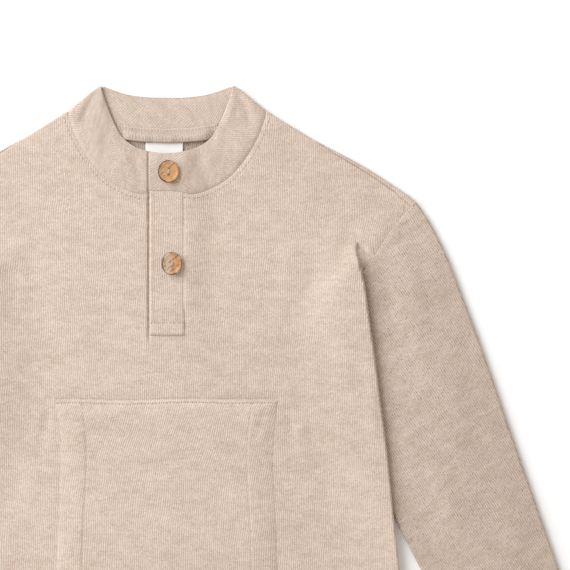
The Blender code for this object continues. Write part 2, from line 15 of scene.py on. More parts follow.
import bmesh
import bpy
import numpy as np
from mathutils import Matrix, Vector, geometry
from mathutils.bvhtree import BVHTree
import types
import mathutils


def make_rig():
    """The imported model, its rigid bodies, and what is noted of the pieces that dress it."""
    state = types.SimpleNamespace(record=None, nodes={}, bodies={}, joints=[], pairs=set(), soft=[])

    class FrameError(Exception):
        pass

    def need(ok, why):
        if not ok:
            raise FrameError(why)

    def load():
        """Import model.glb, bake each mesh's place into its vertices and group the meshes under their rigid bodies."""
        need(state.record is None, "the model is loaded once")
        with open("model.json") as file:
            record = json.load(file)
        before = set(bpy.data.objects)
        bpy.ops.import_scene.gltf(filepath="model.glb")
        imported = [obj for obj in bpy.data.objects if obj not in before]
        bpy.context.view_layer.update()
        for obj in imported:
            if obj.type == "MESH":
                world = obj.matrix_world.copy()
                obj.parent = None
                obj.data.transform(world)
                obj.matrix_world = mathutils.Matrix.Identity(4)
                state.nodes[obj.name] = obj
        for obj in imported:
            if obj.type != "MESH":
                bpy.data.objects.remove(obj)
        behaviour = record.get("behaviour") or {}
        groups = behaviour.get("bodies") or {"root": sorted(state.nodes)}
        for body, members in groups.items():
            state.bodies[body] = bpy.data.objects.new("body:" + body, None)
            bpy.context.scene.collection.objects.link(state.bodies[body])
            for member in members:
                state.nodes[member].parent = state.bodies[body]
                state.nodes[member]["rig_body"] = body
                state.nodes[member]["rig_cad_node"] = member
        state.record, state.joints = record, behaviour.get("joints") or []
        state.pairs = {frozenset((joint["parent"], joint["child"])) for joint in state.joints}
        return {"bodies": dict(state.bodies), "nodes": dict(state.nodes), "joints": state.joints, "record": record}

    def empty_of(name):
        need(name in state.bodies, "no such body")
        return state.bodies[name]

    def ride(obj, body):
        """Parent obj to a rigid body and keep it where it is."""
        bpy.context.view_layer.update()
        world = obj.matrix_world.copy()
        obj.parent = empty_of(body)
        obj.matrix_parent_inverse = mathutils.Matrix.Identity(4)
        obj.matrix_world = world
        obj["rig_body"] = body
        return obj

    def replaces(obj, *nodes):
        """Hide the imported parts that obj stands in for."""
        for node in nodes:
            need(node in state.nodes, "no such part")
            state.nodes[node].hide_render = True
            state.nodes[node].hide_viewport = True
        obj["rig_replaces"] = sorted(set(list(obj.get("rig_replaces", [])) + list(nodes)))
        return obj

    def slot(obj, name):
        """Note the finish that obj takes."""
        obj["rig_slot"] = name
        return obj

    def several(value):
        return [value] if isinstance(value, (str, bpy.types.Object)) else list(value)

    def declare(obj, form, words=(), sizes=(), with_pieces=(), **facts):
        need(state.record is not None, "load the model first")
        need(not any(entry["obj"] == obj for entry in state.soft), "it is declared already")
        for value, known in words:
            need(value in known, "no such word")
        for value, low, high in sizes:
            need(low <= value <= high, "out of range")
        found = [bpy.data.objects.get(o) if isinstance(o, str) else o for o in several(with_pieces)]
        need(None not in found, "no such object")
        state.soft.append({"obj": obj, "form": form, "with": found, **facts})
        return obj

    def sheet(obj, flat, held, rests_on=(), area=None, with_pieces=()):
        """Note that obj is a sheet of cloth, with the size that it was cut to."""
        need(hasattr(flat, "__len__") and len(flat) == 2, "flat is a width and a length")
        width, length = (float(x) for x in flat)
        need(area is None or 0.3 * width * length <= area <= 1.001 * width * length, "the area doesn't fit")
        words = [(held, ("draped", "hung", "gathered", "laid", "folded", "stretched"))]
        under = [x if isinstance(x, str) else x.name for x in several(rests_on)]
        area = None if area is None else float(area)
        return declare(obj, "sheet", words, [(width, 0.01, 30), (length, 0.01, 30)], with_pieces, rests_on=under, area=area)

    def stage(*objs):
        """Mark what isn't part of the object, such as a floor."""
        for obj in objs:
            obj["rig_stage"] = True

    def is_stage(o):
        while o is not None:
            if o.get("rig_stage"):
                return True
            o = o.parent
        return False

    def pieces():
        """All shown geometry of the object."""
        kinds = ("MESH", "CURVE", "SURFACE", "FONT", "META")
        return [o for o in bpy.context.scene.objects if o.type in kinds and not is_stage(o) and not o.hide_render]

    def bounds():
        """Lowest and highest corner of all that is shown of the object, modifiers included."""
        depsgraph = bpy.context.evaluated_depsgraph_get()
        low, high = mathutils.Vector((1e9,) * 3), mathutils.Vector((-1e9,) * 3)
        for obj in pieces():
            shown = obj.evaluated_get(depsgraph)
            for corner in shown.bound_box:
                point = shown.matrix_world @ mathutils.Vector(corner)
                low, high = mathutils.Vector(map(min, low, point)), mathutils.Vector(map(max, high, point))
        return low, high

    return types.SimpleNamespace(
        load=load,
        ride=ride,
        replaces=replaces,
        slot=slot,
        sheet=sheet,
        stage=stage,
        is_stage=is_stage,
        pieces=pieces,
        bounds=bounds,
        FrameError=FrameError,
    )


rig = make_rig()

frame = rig.load()
frame_low, frame_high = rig.bounds()
print("nodes:", sorted(frame["nodes"]))

# %% [markdown]
# ## Camera, floor and light
#
# The photograph looks straight down. A long lens a metre above the cloth keeps the
# outline free of perspective. The key light is a broad panel to the upper left, low
# enough to shade the ribs, and the pale surroundings fill in the rest.

# %% Camera
LENS = 100.0
SENSOR = 36.0
VIEW_WIDTH = 0.380
VIEW_CENTRE = (0.0787, 0.0613)
CLOTH_LEVEL = 0.004  # the height at which the view is exactly that wide

camera = bpy.data.objects.new("camera", bpy.data.cameras.new("camera"))
camera.data.lens = LENS
camera.data.sensor_width = SENSOR
camera.location = (*VIEW_CENTRE, VIEW_WIDTH * LENS / SENSOR + CLOTH_LEVEL)
bpy.context.scene.collection.objects.link(camera)
bpy.context.scene.camera = camera
bpy.context.scene.view_settings.view_transform = "Standard"

# %% Floor and light
FLOOR_HALF = 3.0
FLOOR_DROP = 0.0002  # keeps the floor just clear of the cloth
CORNERS = ((-1, -1), (1, -1), (1, 1), (-1, 1))
floor_mesh = bpy.data.meshes.new("floor")
floor_spots = [(x * FLOOR_HALF, y * FLOOR_HALF, -FLOOR_DROP) for x, y in CORNERS]
floor_mesh.from_pydata(floor_spots, [], [(0, 1, 2, 3)])
floor = bpy.data.objects.new("floor", floor_mesh)
bpy.context.scene.collection.objects.link(floor)
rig.stage(floor)

WORLD_COLOUR = (1.0, 0.935, 0.868, 1.0)
WORLD_STRENGTH = 0.65
world = bpy.data.worlds.new("studio")
world.use_nodes = True
surroundings = world.node_tree.nodes["Background"]
surroundings.inputs["Color"].default_value = WORLD_COLOUR
surroundings.inputs["Strength"].default_value = WORLD_STRENGTH
bpy.context.scene.world = world

KEY_FROM = Vector((-1.78, 1.0, 1.45))
KEY_SIZE = 1.85
KEY_POWER = 73.5
KEY_COLOUR = (0.945, 1.0, 1.075)
key = bpy.data.objects.new("key_light", bpy.data.lights.new("key_light", "AREA"))
key.data.size = KEY_SIZE
key.data.energy = KEY_POWER
key.data.color = KEY_COLOUR
key.location = Vector((*VIEW_CENTRE, 0.0)) + KEY_FROM
key.rotation_mode = "QUATERNION"
key.rotation_quaternion = (-KEY_FROM).to_track_quat("-Z", "Y")
bpy.context.scene.collection.objects.link(key)
print(f"key light at {math.degrees(math.atan2(KEY_FROM.z, math.hypot(KEY_FROM.x, KEY_FROM.y))):.0f} degrees")

# %% [markdown]
# ## Shader maths as Python
#
# Node trees are easier to read as formulas. `Wire` wraps one output socket and adds Math
# nodes for the operators, and `Paint.add` makes any other node.

# %% Wires and paint
class Wire:
    """An output socket whose sums, differences and products add Math nodes."""

    def __init__(self, paint, socket):
        self.paint = paint
        self.socket = socket

    def math(self, operation, *others):
        return self.paint.add("ShaderNodeMath", {"operation": operation}, [self, *others])

    def __add__(self, other):
        return self.math("ADD", other)

    def __sub__(self, other):
        return self.math("SUBTRACT", other)

    def __mul__(self, other):
        return self.math("MULTIPLY", other)

    def __rsub__(self, other):
        return self.paint.add("ShaderNodeMath", {"operation": "SUBTRACT"}, [other, self])

    def clamped(self, top=1.0):
        """Held between 0 and top."""
        return self.math("MAXIMUM", 0.0).math("MINIMUM", top)


class Paint:
    """A material and the one method that adds nodes to it."""

    def __init__(self, name):
        self.material = bpy.data.materials.new(name)
        self.material.use_nodes = True
        self.tree = self.material.node_tree
        self.shader = self.tree.nodes["Principled BSDF"]

    def add(self, kind, settings=None, inputs=(), output=0):
        node = self.tree.nodes.new(kind)
        for name, value in (settings or {}).items():
            if name == "stops":
                self.set_stops(node.color_ramp, value)
            else:
                setattr(node, name, value)
        pairs = inputs.items() if isinstance(inputs, dict) else enumerate(inputs)
        for name, value in pairs:
            self.plug(node.inputs[name], value)
        return Wire(self, node.outputs[output])

    def set_stops(self, ramp, stops):
        while len(ramp.elements) < len(stops):
            ramp.elements.new(0.5)
        for element, (place, colour) in zip(ramp.elements, stops):
            element.position = place
            element.color = colour

    def plug(self, socket, value):
        if isinstance(value, Wire):
            self.tree.links.new(value.socket, socket)
        else:
            socket.default_value = value

    def feed(self, **inputs):
        for name, value in inputs.items():
            self.plug(self.shader.inputs[name.replace("_", " ").title()], value)

    def mix(self, share, low, high):
        """Two colours mixed. Sockets 0, 6 and 7 are the node's factor and its colours."""
        return self.add("ShaderNodeMix", {"data_type": "RGBA"}, {0: share, 6: low, 7: high}, output=2)

    def shade(self, colour, value):
        """A colour made lighter or darker by a value."""
        return self.add("ShaderNodeVectorMath", {"operation": "SCALE"}, {0: colour, "Scale": value})


# %% [markdown]
# ## The knit
#
# The cloth is a fine single rib in a beige melange yarn. Light and dark fibres show as
# short streaks along each wale and as soft mottles that run along the courses. The
# furrows between the wales and the stitch rows carry painted shade, broken up by the
# specks. The UV map of every panel holds metres: U counts across the wales and V along
# them, so one material serves all panels, whatever way their wales run.

# %% Knit material
WALE = 1.45  # width of one rib, in millimetres
COURSE = 1.1  # height of one row of stitches
KNIT_LIGHT = (0.765, 0.638, 0.54, 1.0)
KNIT_DARK = (0.525, 0.405, 0.32, 1.0)


def knit(name, tone=0.96, rib_shade=0.2, bump=1.0, cloudy=1.3):
    """Rib knit. Tone is its lightness, rib_shade the painted shade in its furrows, bump
    scales its relief and cloudy its mottles."""
    paint = Paint(name)
    uv = paint.add("ShaderNodeUVMap", {"uv_map": "wales"})
    flat = paint.add("ShaderNodeSeparateXYZ", {}, [uv])
    along = Wire(paint, flat.socket.node.outputs[1])
    u = flat * 1000.0
    v = along * 1000.0

    def noise(across, up, detail, seed, rough=0.5):
        place = paint.add("ShaderNodeCombineXYZ", {}, [u * across, v * up, seed])
        return paint.add(
            "ShaderNodeTexNoise", {}, {"Vector": place, "Scale": 1.0, "Detail": detail, "Roughness": rough}
        )

    wander = noise(0.11, 0.14, 1.0, 31.7)  # bends the wales a little
    wale_turn = (u + (wander - 0.5) * 1.5) * (2.0 * math.pi / WALE)
    rib = wale_turn.math("COSINE") * 0.5 + 0.5
    furrow = (1.0 - rib) * (1.0 - rib)
    slant = (wale_turn * 0.5).math("SINE").math("ABSOLUTE")
    stitch = (v * (2.0 * math.pi / COURSE) + slant * 2.4).math("SINE") * 0.5 + 0.5
    yarn = noise(0.34, 0.8, 2.0, 3.1, 0.62)  # light and dark fibres
    fleck = noise(1.1, 0.75, 1.0, 8.7)  # short specks
    mottle = noise(0.085, 0.19, 4.0, 14.3, 0.68)  # cloudy patches
    drift = noise(0.013, 0.017, 1.0, 21.9)  # a slow change over the whole garment
    fuzz = noise(4.1, 4.1, 2.0, 5.5, 0.7)  # loose fibre ends

    share = (yarn - 0.5) * 0.85 + (fleck - 0.5) * 1.9 + (mottle - 0.5) * cloudy + (drift - 0.5) * 0.3 + 0.5
    colour = paint.mix(share.clamped(), KNIT_DARK, KNIT_LIGHT)
    # Painted shade: the rib furrows are darkened where the dark flecks fall, and the stitch rows are painted lighter
    # and darker with their relief.
    furrow_shade_and_flecks = furrow * ((fleck - 0.42) * 6.0).clamped(2.6) * (tone * rib_shade)
    tone_and_painted_shade = tone - furrow_shade_and_flecks + (stitch - 0.5) * (0.05 * tone) + (fuzz - 0.5) * 0.12
    height = rib * 0.45 + stitch * (rib * 0.5 + 0.15) * 0.4 + fuzz * 0.6 + fleck * 0.6
    relief = paint.add(
        "ShaderNodeBump", {}, {"Height": height, "Strength": 0.8, "Distance": 0.0002 * bump}
    )
    paint.feed(base_color=paint.shade(colour, tone_and_painted_shade), roughness=0.92, normal=relief)
    paint.shader.inputs["Sheen Weight"].default_value = 0.16
    paint.shader.inputs["Sheen Tint"].default_value = (1.0, 0.84, 0.7, 1.0)
    paint.shader.inputs["Sheen Roughness"].default_value = 0.5
    paint.shader.inputs["Specular IOR Level"].default_value = 0.18
    return paint.material


knit_cloth = knit("rib_knit", rib_shade=0.18, cloudy=1.1)
collar_cloth = knit("collar_knit", rib_shade=0.3, bump=1.4)
# Painted shade: the sleeves' lower tone stands for cloth that slopes away from the light, and their furrows carry more
# painted shade.
sleeve_shaded_cloth = knit("sleeve_knit", tone=0.915, rib_shade=0.42, bump=1.7)
# Painted shade: the neck allowance lies inside the neck in the collar's shade, so its knit is painted darker.
shaded_inside_cloth = knit("knit_inside", tone=0.8, rib_shade=0.2)
print("knit:", len(knit_cloth.node_tree.nodes), "nodes")

# %% [markdown]
# ## Floor, thread, label and coconut
#
# The small finishes. Coconut shell is a brown wood-like shell with dark flecks and a
# darker skin that is left on at the rim. Thread and woven ribbon get a fine twist or
# weave from sine waves.

# %% Small materials
def floor_paint():
    paint = Paint("pale_floor")
    place = paint.add("ShaderNodeTexCoord", output="Object")
    grain = paint.add("ShaderNodeTexNoise", {}, {"Vector": place, "Scale": 40.0})
    paint.feed(base_color=paint.mix(grain, (0.93, 0.93, 0.93, 1.0), (0.95, 0.95, 0.95, 1.0)), roughness=0.95)
    paint.shader.inputs["Specular IOR Level"].default_value = 0.0
    return paint.material


def thread_paint(name, colour):
    paint = Paint(name)
    place = paint.add("ShaderNodeTexCoord", output="Object")
    grain = paint.add("ShaderNodeTexNoise", {}, {"Vector": place, "Scale": 2500.0, "Detail": 1.0})
    dark = tuple(0.7 * c for c in colour) + (1.0,)
    paint.feed(base_color=paint.mix(grain, dark, (*colour, 1.0)), roughness=0.8)
    return paint.material


def ribbon_paint():
    paint = Paint("woven_ribbon")
    place = paint.add("ShaderNodeTexCoord", output="Object")
    axes = paint.add("ShaderNodeSeparateXYZ", {}, [place])
    across = axes * 1000.0
    up = Wire(paint, axes.socket.node.outputs[1]) * 1000.0
    warp = (across * 14.0).math("SINE")
    weft = (up * 9.0).math("SINE")
    weave = warp * weft * 0.5 + 0.5
    relief = paint.add("ShaderNodeBump", {}, {"Height": weave, "Strength": 0.35, "Distance": 0.00008})
    paint.feed(
        base_color=paint.mix(weave, (0.74, 0.715, 0.69, 1.0), (0.88, 0.86, 0.84, 1.0)),
        roughness=0.5,
        normal=relief,
    )
    paint.shader.inputs["Sheen Weight"].default_value = 0.15
    return paint.material


floor_mesh.materials.append(floor_paint())
thread = thread_paint("sewing_thread", (0.66, 0.53, 0.43))
# Painted shade: dark balls stand for the shade inside each needle hole.
needle_shade = thread_paint("needle_hole", (0.30, 0.215, 0.155))
button_thread = thread_paint("button_thread", (0.66, 0.56, 0.45))
loop_thread = thread_paint("loop_thread", (0.74, 0.62, 0.52))
ribbon = ribbon_paint()
print("small finishes:", [finish.name for finish in (thread, needle_shade, button_thread, loop_thread, ribbon)])

# %% [markdown]
# ## Sizes of the garment
#
# The tables hold the garment's cut in millimetres: the heights of its layers, the side of
# the body, and the seam lines of the wearer's left half. Most are the solids' own. The
# photograph asked for four changes: the side lies up to 1.1 mm further out, its lift is
# 0.7 mm less at y = 86.9, the armhole ends 6.5 mm lower and the sleeves puff 0.8 mm more.

# %% Layers and tables
CLOTH = 1.8
SEAM_GAP = 0.3
LAYER = CLOTH + SEAM_GAP
HEM_Y = -195.0 - SEAM_GAP / 2
HEM_CORNER_RISE = 4.0
PLACKET_HALF = 11.3
PLACKET_FOOT = 27.7
PLACKET_BOX = 8.3
SLOT_LEFT = -9.0
COLLAR_CLOTH = 2.0
COLLAR_LEVEL = 2.8
COLLAR_OVERLAP_RISE = COLLAR_CLOTH + SEAM_GAP
NECK_LIFT = COLLAR_LEVEL - LAYER
PUFF = 1.2
SLEEVE_PUFF = 3.2
SLEEVE_TOP = 2 * CLOTH + SEAM_GAP
FLAP_TOP = 31.0
UNDERARM_Y = 33.0
CUFF_Y = -182.0
POCKET_TOP = -15.3
POCKET_FOOT = -145.0

Side = namedtuple("Side", "y edge sleeve lift")
SIDE = (
    Side(-195.0, 161.1, 201.6, 4.2),
    Side(-130.0, 155.1, 170.0, 4.2),
    Side(-88.0, 150.5, 149.5, 4.2),
    Side(-45.8, 146.2, 136.5, 4.2),
    Side(-12.7, 141.8, 128.8, 4.2),
    Side(18.0, 138.0, 123.6, 4.2),
    Side(33.0, 135.8, 122.0, 4.2),
    Side(48.2, 133.7, 123.3, 4.2),
    Side(63.5, 131.5, 126.0, 3.3),
    Side(75.5, 128.6, 128.6, 2.5),
    Side(86.9, 125.7, 125.7, 0.5),
    Side(95.0, 124.3, 124.3, 0.0),
)
SHOULDER_FOLD = ((66.5, 177.3), (97.0, 158.7), (133.9, 138.8), (152.2, 126.9), (161.7, 120.5), (166.5, 116.1))
SHOULDER_SEAM = ((97.0, 158.7), (109.3, 150.4), (133.9, 135.4), (152.2, 122.8), (163.1, 113.3))
ARMHOLE = (
    (166.5, 116.1), (163.1, 113.3), (155.5, 104.9), (147.8, 94.7), (140.2, 82.6), (135.2, 75.2),
    (130.3, 69.0),
)
ARMHOLE_END_Y = ARMHOLE[-1][1]
SLEEVE_OUTER = ((166.5, 116.1), (170.9, 109.9), (182.8, 88.5), (200.0, 46.0), (235.0, -53.0), (270.7, -154.7))
FRONT_NECK = (
    (66.5, 177.3), (60.2, 159.9), (48.7, 141.5), (38.5, 131.3), (29.6, 126.2), (17.3, 122.5), (7.0, 124.0),
    (-11.3, 124.4),
)
BACK_NECK = ((66.5, 177.3), (45.0, 167.5), (22.0, 162.0), (0.0, 160.7))
FRONT_COLLAR_TOP = (
    (44.7, 195.0), (39.8, 181.0), (35.1, 169.4), (29.6, 159.9), (22.8, 154.5), (11.3, 150.4), (-11.3, 149.0),
)
BACK_COLLAR_TOP = ((44.7, 195.0), (36.3, 191.6), (26.7, 188.7), (12.0, 186.8), (0.0, 186.6))
POCKET_SIDE = ((-145.0, 74.0), (-100.0, 72.5), (-60.7, 70.5), (-46.7, 70.5), (-21.3, 73.1), (-15.3, 74.0))
POCKET_HALF = POCKET_SIDE[0][1]
print("hem", 2 * SIDE[0].edge, "mm wide")

# %% [markdown]
# Smooth functions through those tables, written with arrays so that a whole panel's
# points go through them at once.

# %% Curves and distances
def smooth(t):
    t = np.clip(t, 0.0, 1.0)
    return t * t * (3.0 - 2.0 * t)


def curve(at, values):
    """A smooth function through values at rising places."""
    at = np.array(at, float)
    values = np.array(values, float)
    slopes = np.gradient(values, at)

    def function(place):
        place = np.clip(place, at[0], at[-1])
        i = np.clip(np.searchsorted(at, place, side="right") - 1, 0, len(at) - 2)
        width = at[i + 1] - at[i]
        t = (place - at[i]) / width
        start = (1 + 2 * t) * (1 - t) ** 2 * values[i] + t * (1 - t) ** 2 * width * slopes[i]
        end = t * t * (3 - 2 * t) * values[i + 1] + t * t * (t - 1) * width * slopes[i + 1]
        return start + end

    return function


def path(spots, step=2.0, count=None):
    """Evenly spaced spots on a smooth line through the given ones."""
    spots = np.array(spots, float)
    run = np.concatenate([[0.0], np.cumsum(np.hypot(*np.diff(spots, axis=0).T))])
    count = count or max(2, round(run[-1] / step) + 1)
    places = np.linspace(0.0, run[-1], count)
    return np.stack([curve(run, spots[:, 0])(places), curve(run, spots[:, 1])(places)], axis=1)


def mirrored(line):
    return line * (-1.0, 1.0)


def to_line(points, line):
    """Distance of each point to a line, the side of the line that it is on, and the
    nearest place on it."""
    best = np.full(len(points), np.inf)
    side = np.zeros(len(points))
    nearest = np.zeros((len(points), 2))
    for a, b in zip(line[:-1], line[1:]):
        run = b - a
        t = np.clip(((points - a) @ run) / max(run @ run, 1e-12), 0.0, 1.0)
        foot = a + t[:, None] * run
        gap = np.hypot(*(points - foot).T)
        turn = run[0] * (points[:, 1] - a[1]) - run[1] * (points[:, 0] - a[0])
        closer = gap < best - 1e-9
        best[closer] = gap[closer]
        side[closer] = turn[closer]
        nearest[closer] = foot[closer]
    return best, side, nearest


edge_at = curve([row.y for row in SIDE], [row.edge for row in SIDE])
sleeve_at = curve([row.y for row in SIDE], [row.sleeve for row in SIDE])
lift_at = curve([row.y for row in SIDE], [row.lift for row in SIDE])
ARMPIT_FOLD = ((75.5, 128.6), (78.0, 128.1), (82.1, 127.0), (86.9, 125.9), (91.0, 125.0), (97.0, 123.8))
armpit_fold_at = curve([y for y, _ in ARMPIT_FOLD], [x for _, x in ARMPIT_FOLD])


def fold_at(y):
    """The body's side, and above the armhole's end the fold that runs on from it."""
    return np.where(y > ARMPIT_FOLD[0][0], armpit_fold_at(y), edge_at(y))


neck_line = path(FRONT_NECK, 1.5)
shoulder_line = path(SHOULDER_SEAM, 3.0)
armhole_line = np.vstack([ARMHOLE[:1], path(ARMHOLE[1:], 2.5)])
print("neck seam", len(neck_line), "spots")

# %% [markdown]
# ## Creases
#
# Flat-laid knit is never quite flat: it drags towards the armpit, ripples beside the
# pocket and rolls a little over the layers below. Each row of the tables is one soft
# trough (negative depth) or ridge, with its own length, width and depth.

# %% Crease tables
Crease = namedtuple("Crease", "x0 y0 x1 y1 width depth")
FRONT_CREASES = (
    Crease(123, 88, 96, 64, 6.5, -1.25),
    Crease(119, 97, 88, 82, 7.5, 0.75),
    Crease(121, 70, 103, 44, 6.0, 0.7),
    Crease(97, 88, 90, 40, 8.0, -0.75),
    Crease(84, 92, 80, 52, 9.0, 0.5),
    Crease(140, 118, 122, 98, 6.0, -0.7),
    Crease(150, 112, 132, 92, 5.0, 0.5),
    Crease(112, 128, 104, 100, 9.0, -0.4),
    Crease(79, -22, 84, -42, 3.2, -0.8),
    Crease(87, -30, 92, -66, 6.0, 0.5),
    Crease(122, -10, 128, -60, 8.0, -0.6),
    Crease(134, 20, 136, -40, 5.0, 0.4),
    Crease(60, 60, 20, 10, 14.0, -0.35),
    Crease(38, 112, 26, 84, 8.0, -0.35),
    Crease(-122, 86, -98, 60, 7.0, -1.2),
    Crease(-118, 98, -90, 85, 7.0, 0.7),
    Crease(-124, 64, -108, 34, 6.5, 0.6),
    Crease(-95, 92, -86, 46, 8.5, -0.7),
    Crease(-143, 114, -124, 95, 6.0, -0.65),
    Crease(-110, 130, -100, 98, 9.5, -0.4),
    Crease(-80, -20, -86, -50, 3.6, -0.7),
    Crease(-90, -60, -96, -104, 7.0, 0.5),
    Crease(-124, 0, -130, -62, 8.0, -0.6),
    Crease(-66, 70, -30, 20, 13.0, -0.35),
    Crease(90, -150, 140, -166, 7.0, -0.5),
    Crease(-84, -156, -146, -150, 8.0, -0.5),
    Crease(20, -158, 70, -168, 7.0, -0.35),
)
POCKET_CREASES = (
    Crease(-16, -62, 2, -59, 2.4, -0.55),
    Crease(36, -38, 54, -50, 3.0, -0.45),
    Crease(50, -27, 66, -42, 3.2, 0.55),
    Crease(64, -24, 57, -44, 2.6, -0.4),
    Crease(10, -36, 30, -44, 5.0, -0.35),
    Crease(52, -66, 68, -60, 3.4, -0.4),
    Crease(-60, -40, -40, -52, 5.0, -0.45),
    Crease(-30, -92, 26, -99, 8.0, -0.5),
    Crease(30, -112, 60, -120, 6.0, 0.4),
    Crease(-58, -108, -36, -128, 6.0, -0.4),
)
SLEEVE_CREASES = (
    Crease(141, 72, 150, 40, 5.0, -1.0),
    Crease(150, 84, 168, 52, 7.0, 0.8),
    Crease(150, 30, 166, -6, 6.0, -0.9),
    Crease(165, 74, 182, 30, 7.0, -0.6),
    Crease(160, -20, 184, -56, 7.0, -0.8),
    Crease(196, 10, 205, -50, 8.0, -0.6),
    Crease(176, -62, 196, -110, 7.0, 0.8),
    Crease(196, -86, 222, -118, 7.0, -0.9),
    Crease(215, -60, 236, -108, 7.0, 0.6),
    Crease(205, -140, 240, -150, 6.0, -0.6),
)


def crease_relief(points, creases):
    relief = np.zeros(len(points))
    for crease in creases:
        start = np.array([crease.x0, crease.y0], float)
        run = np.array([crease.x1, crease.y1], float) - start
        length = np.hypot(*run)
        along = ((points - start) @ run) / length**2
        bow = 0.06 * length * np.sin(math.pi * np.clip(along, 0.0, 1.0))
        across = ((points - start) @ np.array([-run[1], run[0]])) / length - bow
        reach = np.clip(1.0 - np.abs(along - 0.5) * 1.55, 0.0, 1.0)
        relief += crease.depth * smooth(reach * 1.6) * np.exp(-((across / crease.width) ** 2))
    return relief


print(len(FRONT_CREASES) + len(POCKET_CREASES) + 2 * len(SLEEVE_CREASES), "creases")

# %% [markdown]
# ## Heights of the layers
#
# What lies on what. The body's side climbs over the sleeve, the front rises a little at
# the neck to meet the collar, and the wearer's left front climbs on to the placket.

# %% Heights
def side_lift(points, width):
    top_of_rise = sleeve_at(points[:, 1]) - 2.0
    return smooth((np.abs(points[:, 0]) - top_of_rise + width) / width)


def body_level(points):
    x, y = points.T
    gap = to_line(points * np.where(x < 0, -1.0, 1.0)[:, None] ** np.array([1.0, 0.0]), neck_line)[0]
    puff = PUFF * smooth((118.0 - np.abs(x)) / 60.0) * smooth((150.0 - np.abs(y + 30.0)) / 80.0)
    return LAYER + NECK_LIFT * smooth(1.0 - gap / 25.0) + puff


def front_under(points):
    x, y = points.T
    side = lift_at(y) * side_lift(points, 42.0) * (1.0 - smooth((np.abs(x) - fold_at(y)) / 1.0))
    placket = LAYER * smooth((32.0 - x) / 20.0) * smooth((y - PLACKET_FOOT - PLACKET_BOX) / 14.0)
    return body_level(points) + side + side_lip(points) + np.where(x > 0.0, placket, 0.0)


def front_relief(points):
    side = np.clip((edge_at(points[:, 1]) - np.abs(points[:, 0])) / 9.0, 0.0, 1.0)
    return crease_relief(points, FRONT_CREASES) * smooth(side + 0.25)


LIP_WIDTH = 22.0
LIP_AT_HEM = 0.4
LIP_MORE_AT_CHEST = 1.6
LIP_MORE_AT_ARMPIT = 2.5


def side_lip(points):
    """The body's folded side stands up over the sleeve like a soft roll."""
    x, y = np.abs(points[:, 0]), points[:, 1]
    gap = fold_at(y) - x
    on_body = smooth((gap + 0.6) / 1.2)
    roll = np.exp(-((np.maximum(gap - 1.5, 0.0) / LIP_WIDTH) ** 2)) * (0.35 + 0.65 * smooth(gap / 1.2))
    height = LIP_AT_HEM + LIP_MORE_AT_CHEST * smooth((y + 70.0) / 105.0)
    height = height + LIP_MORE_AT_ARMPIT * np.exp(-(((y - 75.0) / 15.0) ** 2))
    return np.where(y < 97.0, height * on_body * roll * smooth((93.0 - y) / 13.0), 0.0)


WEDGE_DIP = 1.6
WEDGE_RISE = 0.9


def armpit_dip(points):
    """The front falls away beside its fold, in a wedge that opens towards the sleeve."""
    x, y = np.abs(points[:, 0]), points[:, 1]
    beyond = x - fold_at(y)
    reach = 0.3 + 0.6 * np.maximum(89.5 - y, 0.0)
    dip = (1.0 - smooth((beyond - reach) / 5.0)) * smooth((91.5 - y) / 5.0) * smooth(beyond / 0.5)
    to_seam = to_line(np.column_stack([x, y]), armhole_line)[0]
    rise = smooth((beyond - reach - 1.0) / 6.0) * smooth((110.0 - y) / 20.0) * smooth(to_seam / 6.0)
    return np.where((beyond > 0.0) & (y < 110.0), WEDGE_RISE * rise - WEDGE_DIP * dip, 0.0)


FLAP_BLEND = 17.0


def back_under(points):
    over = smooth((FLAP_TOP + FLAP_BLEND - points[:, 1]) / FLAP_BLEND)
    return 2 * LAYER * over * side_lift(points, 14.0)


def neck_height(x):
    order = np.argsort(neck_line[:, 0])
    return float(np.interp(x, neck_line[order, 0], neck_line[order, 1]))


print("front over the sleeve:", round(float(front_under(np.array([[138.0, 0.0]]))[0]) + CLOTH, 2), "mm")

# %% [markdown]
# ## A mesher that follows the wales
#
# A grid would cut the panel's outline into steps, and a free triangulation would cut
# across the ribs. So each wale gets four columns of points: a column runs along the wale
# between its crossings with the outline, with extra points near the rim and where a
# stitch line or a seam crosses it. Neighbouring columns are zipped together.

# %% Columns
RIM_ROWS = np.array([0.0, 0.3, 0.75, 1.4, 2.4])
RIB_STEPS = 4
RIB_DEPTH = 0.115


def crossings(line, u):
    a = line[:-1]
    b = line[1:]
    hit = (a[:, 0] > u) != (b[:, 0] > u)
    a, b = a[hit], b[hit]
    return np.sort(a[:, 1] + (u - a[:, 0]) / (b[:, 0] - a[:, 0]) * (b[:, 1] - a[:, 1]))


def column_rows(low, high, marks, row):
    """Places of the points of one stretch of a column."""
    if high - low < 2.2 * RIM_ROWS[-1]:
        return np.linspace(low, high, max(3, round((high - low) / 0.8) + 1))
    fixed = np.concatenate([low + RIM_ROWS, high - RIM_ROWS])
    marks = marks[(marks > low + 0.2) & (marks < high - 0.2)]
    marks = [m for m in marks if np.abs(fixed - m).min() > 0.15]
    fixed = np.concatenate([fixed, marks])
    lattice = np.arange(math.ceil(low / row), math.floor(high / row) + 1) * row
    lattice = [v for v in lattice if np.abs(fixed - v).min() > 0.3 * row]
    rows = np.sort(np.concatenate([fixed, lattice]))
    keep = np.concatenate([[True], np.diff(rows) > 0.08])
    keep[-1] = True
    return rows[keep]


def zipped(left, right):
    """Triangles between two columns of (place, number) points."""
    faces = []
    i = k = 0
    while i < len(left) - 1 or k < len(right) - 1:
        left_next = left[i][0] + left[i + 1][0] if i < len(left) - 1 else math.inf
        right_next = right[k][0] + right[k + 1][0] if k < len(right) - 1 else math.inf
        if left_next <= right_next:
            faces.append((left[i][1], right[k][1], left[i + 1][1]))
            i += 1
        else:
            faces.append((left[i][1], right[k][1], right[k + 1][1]))
            k += 1
    return faces


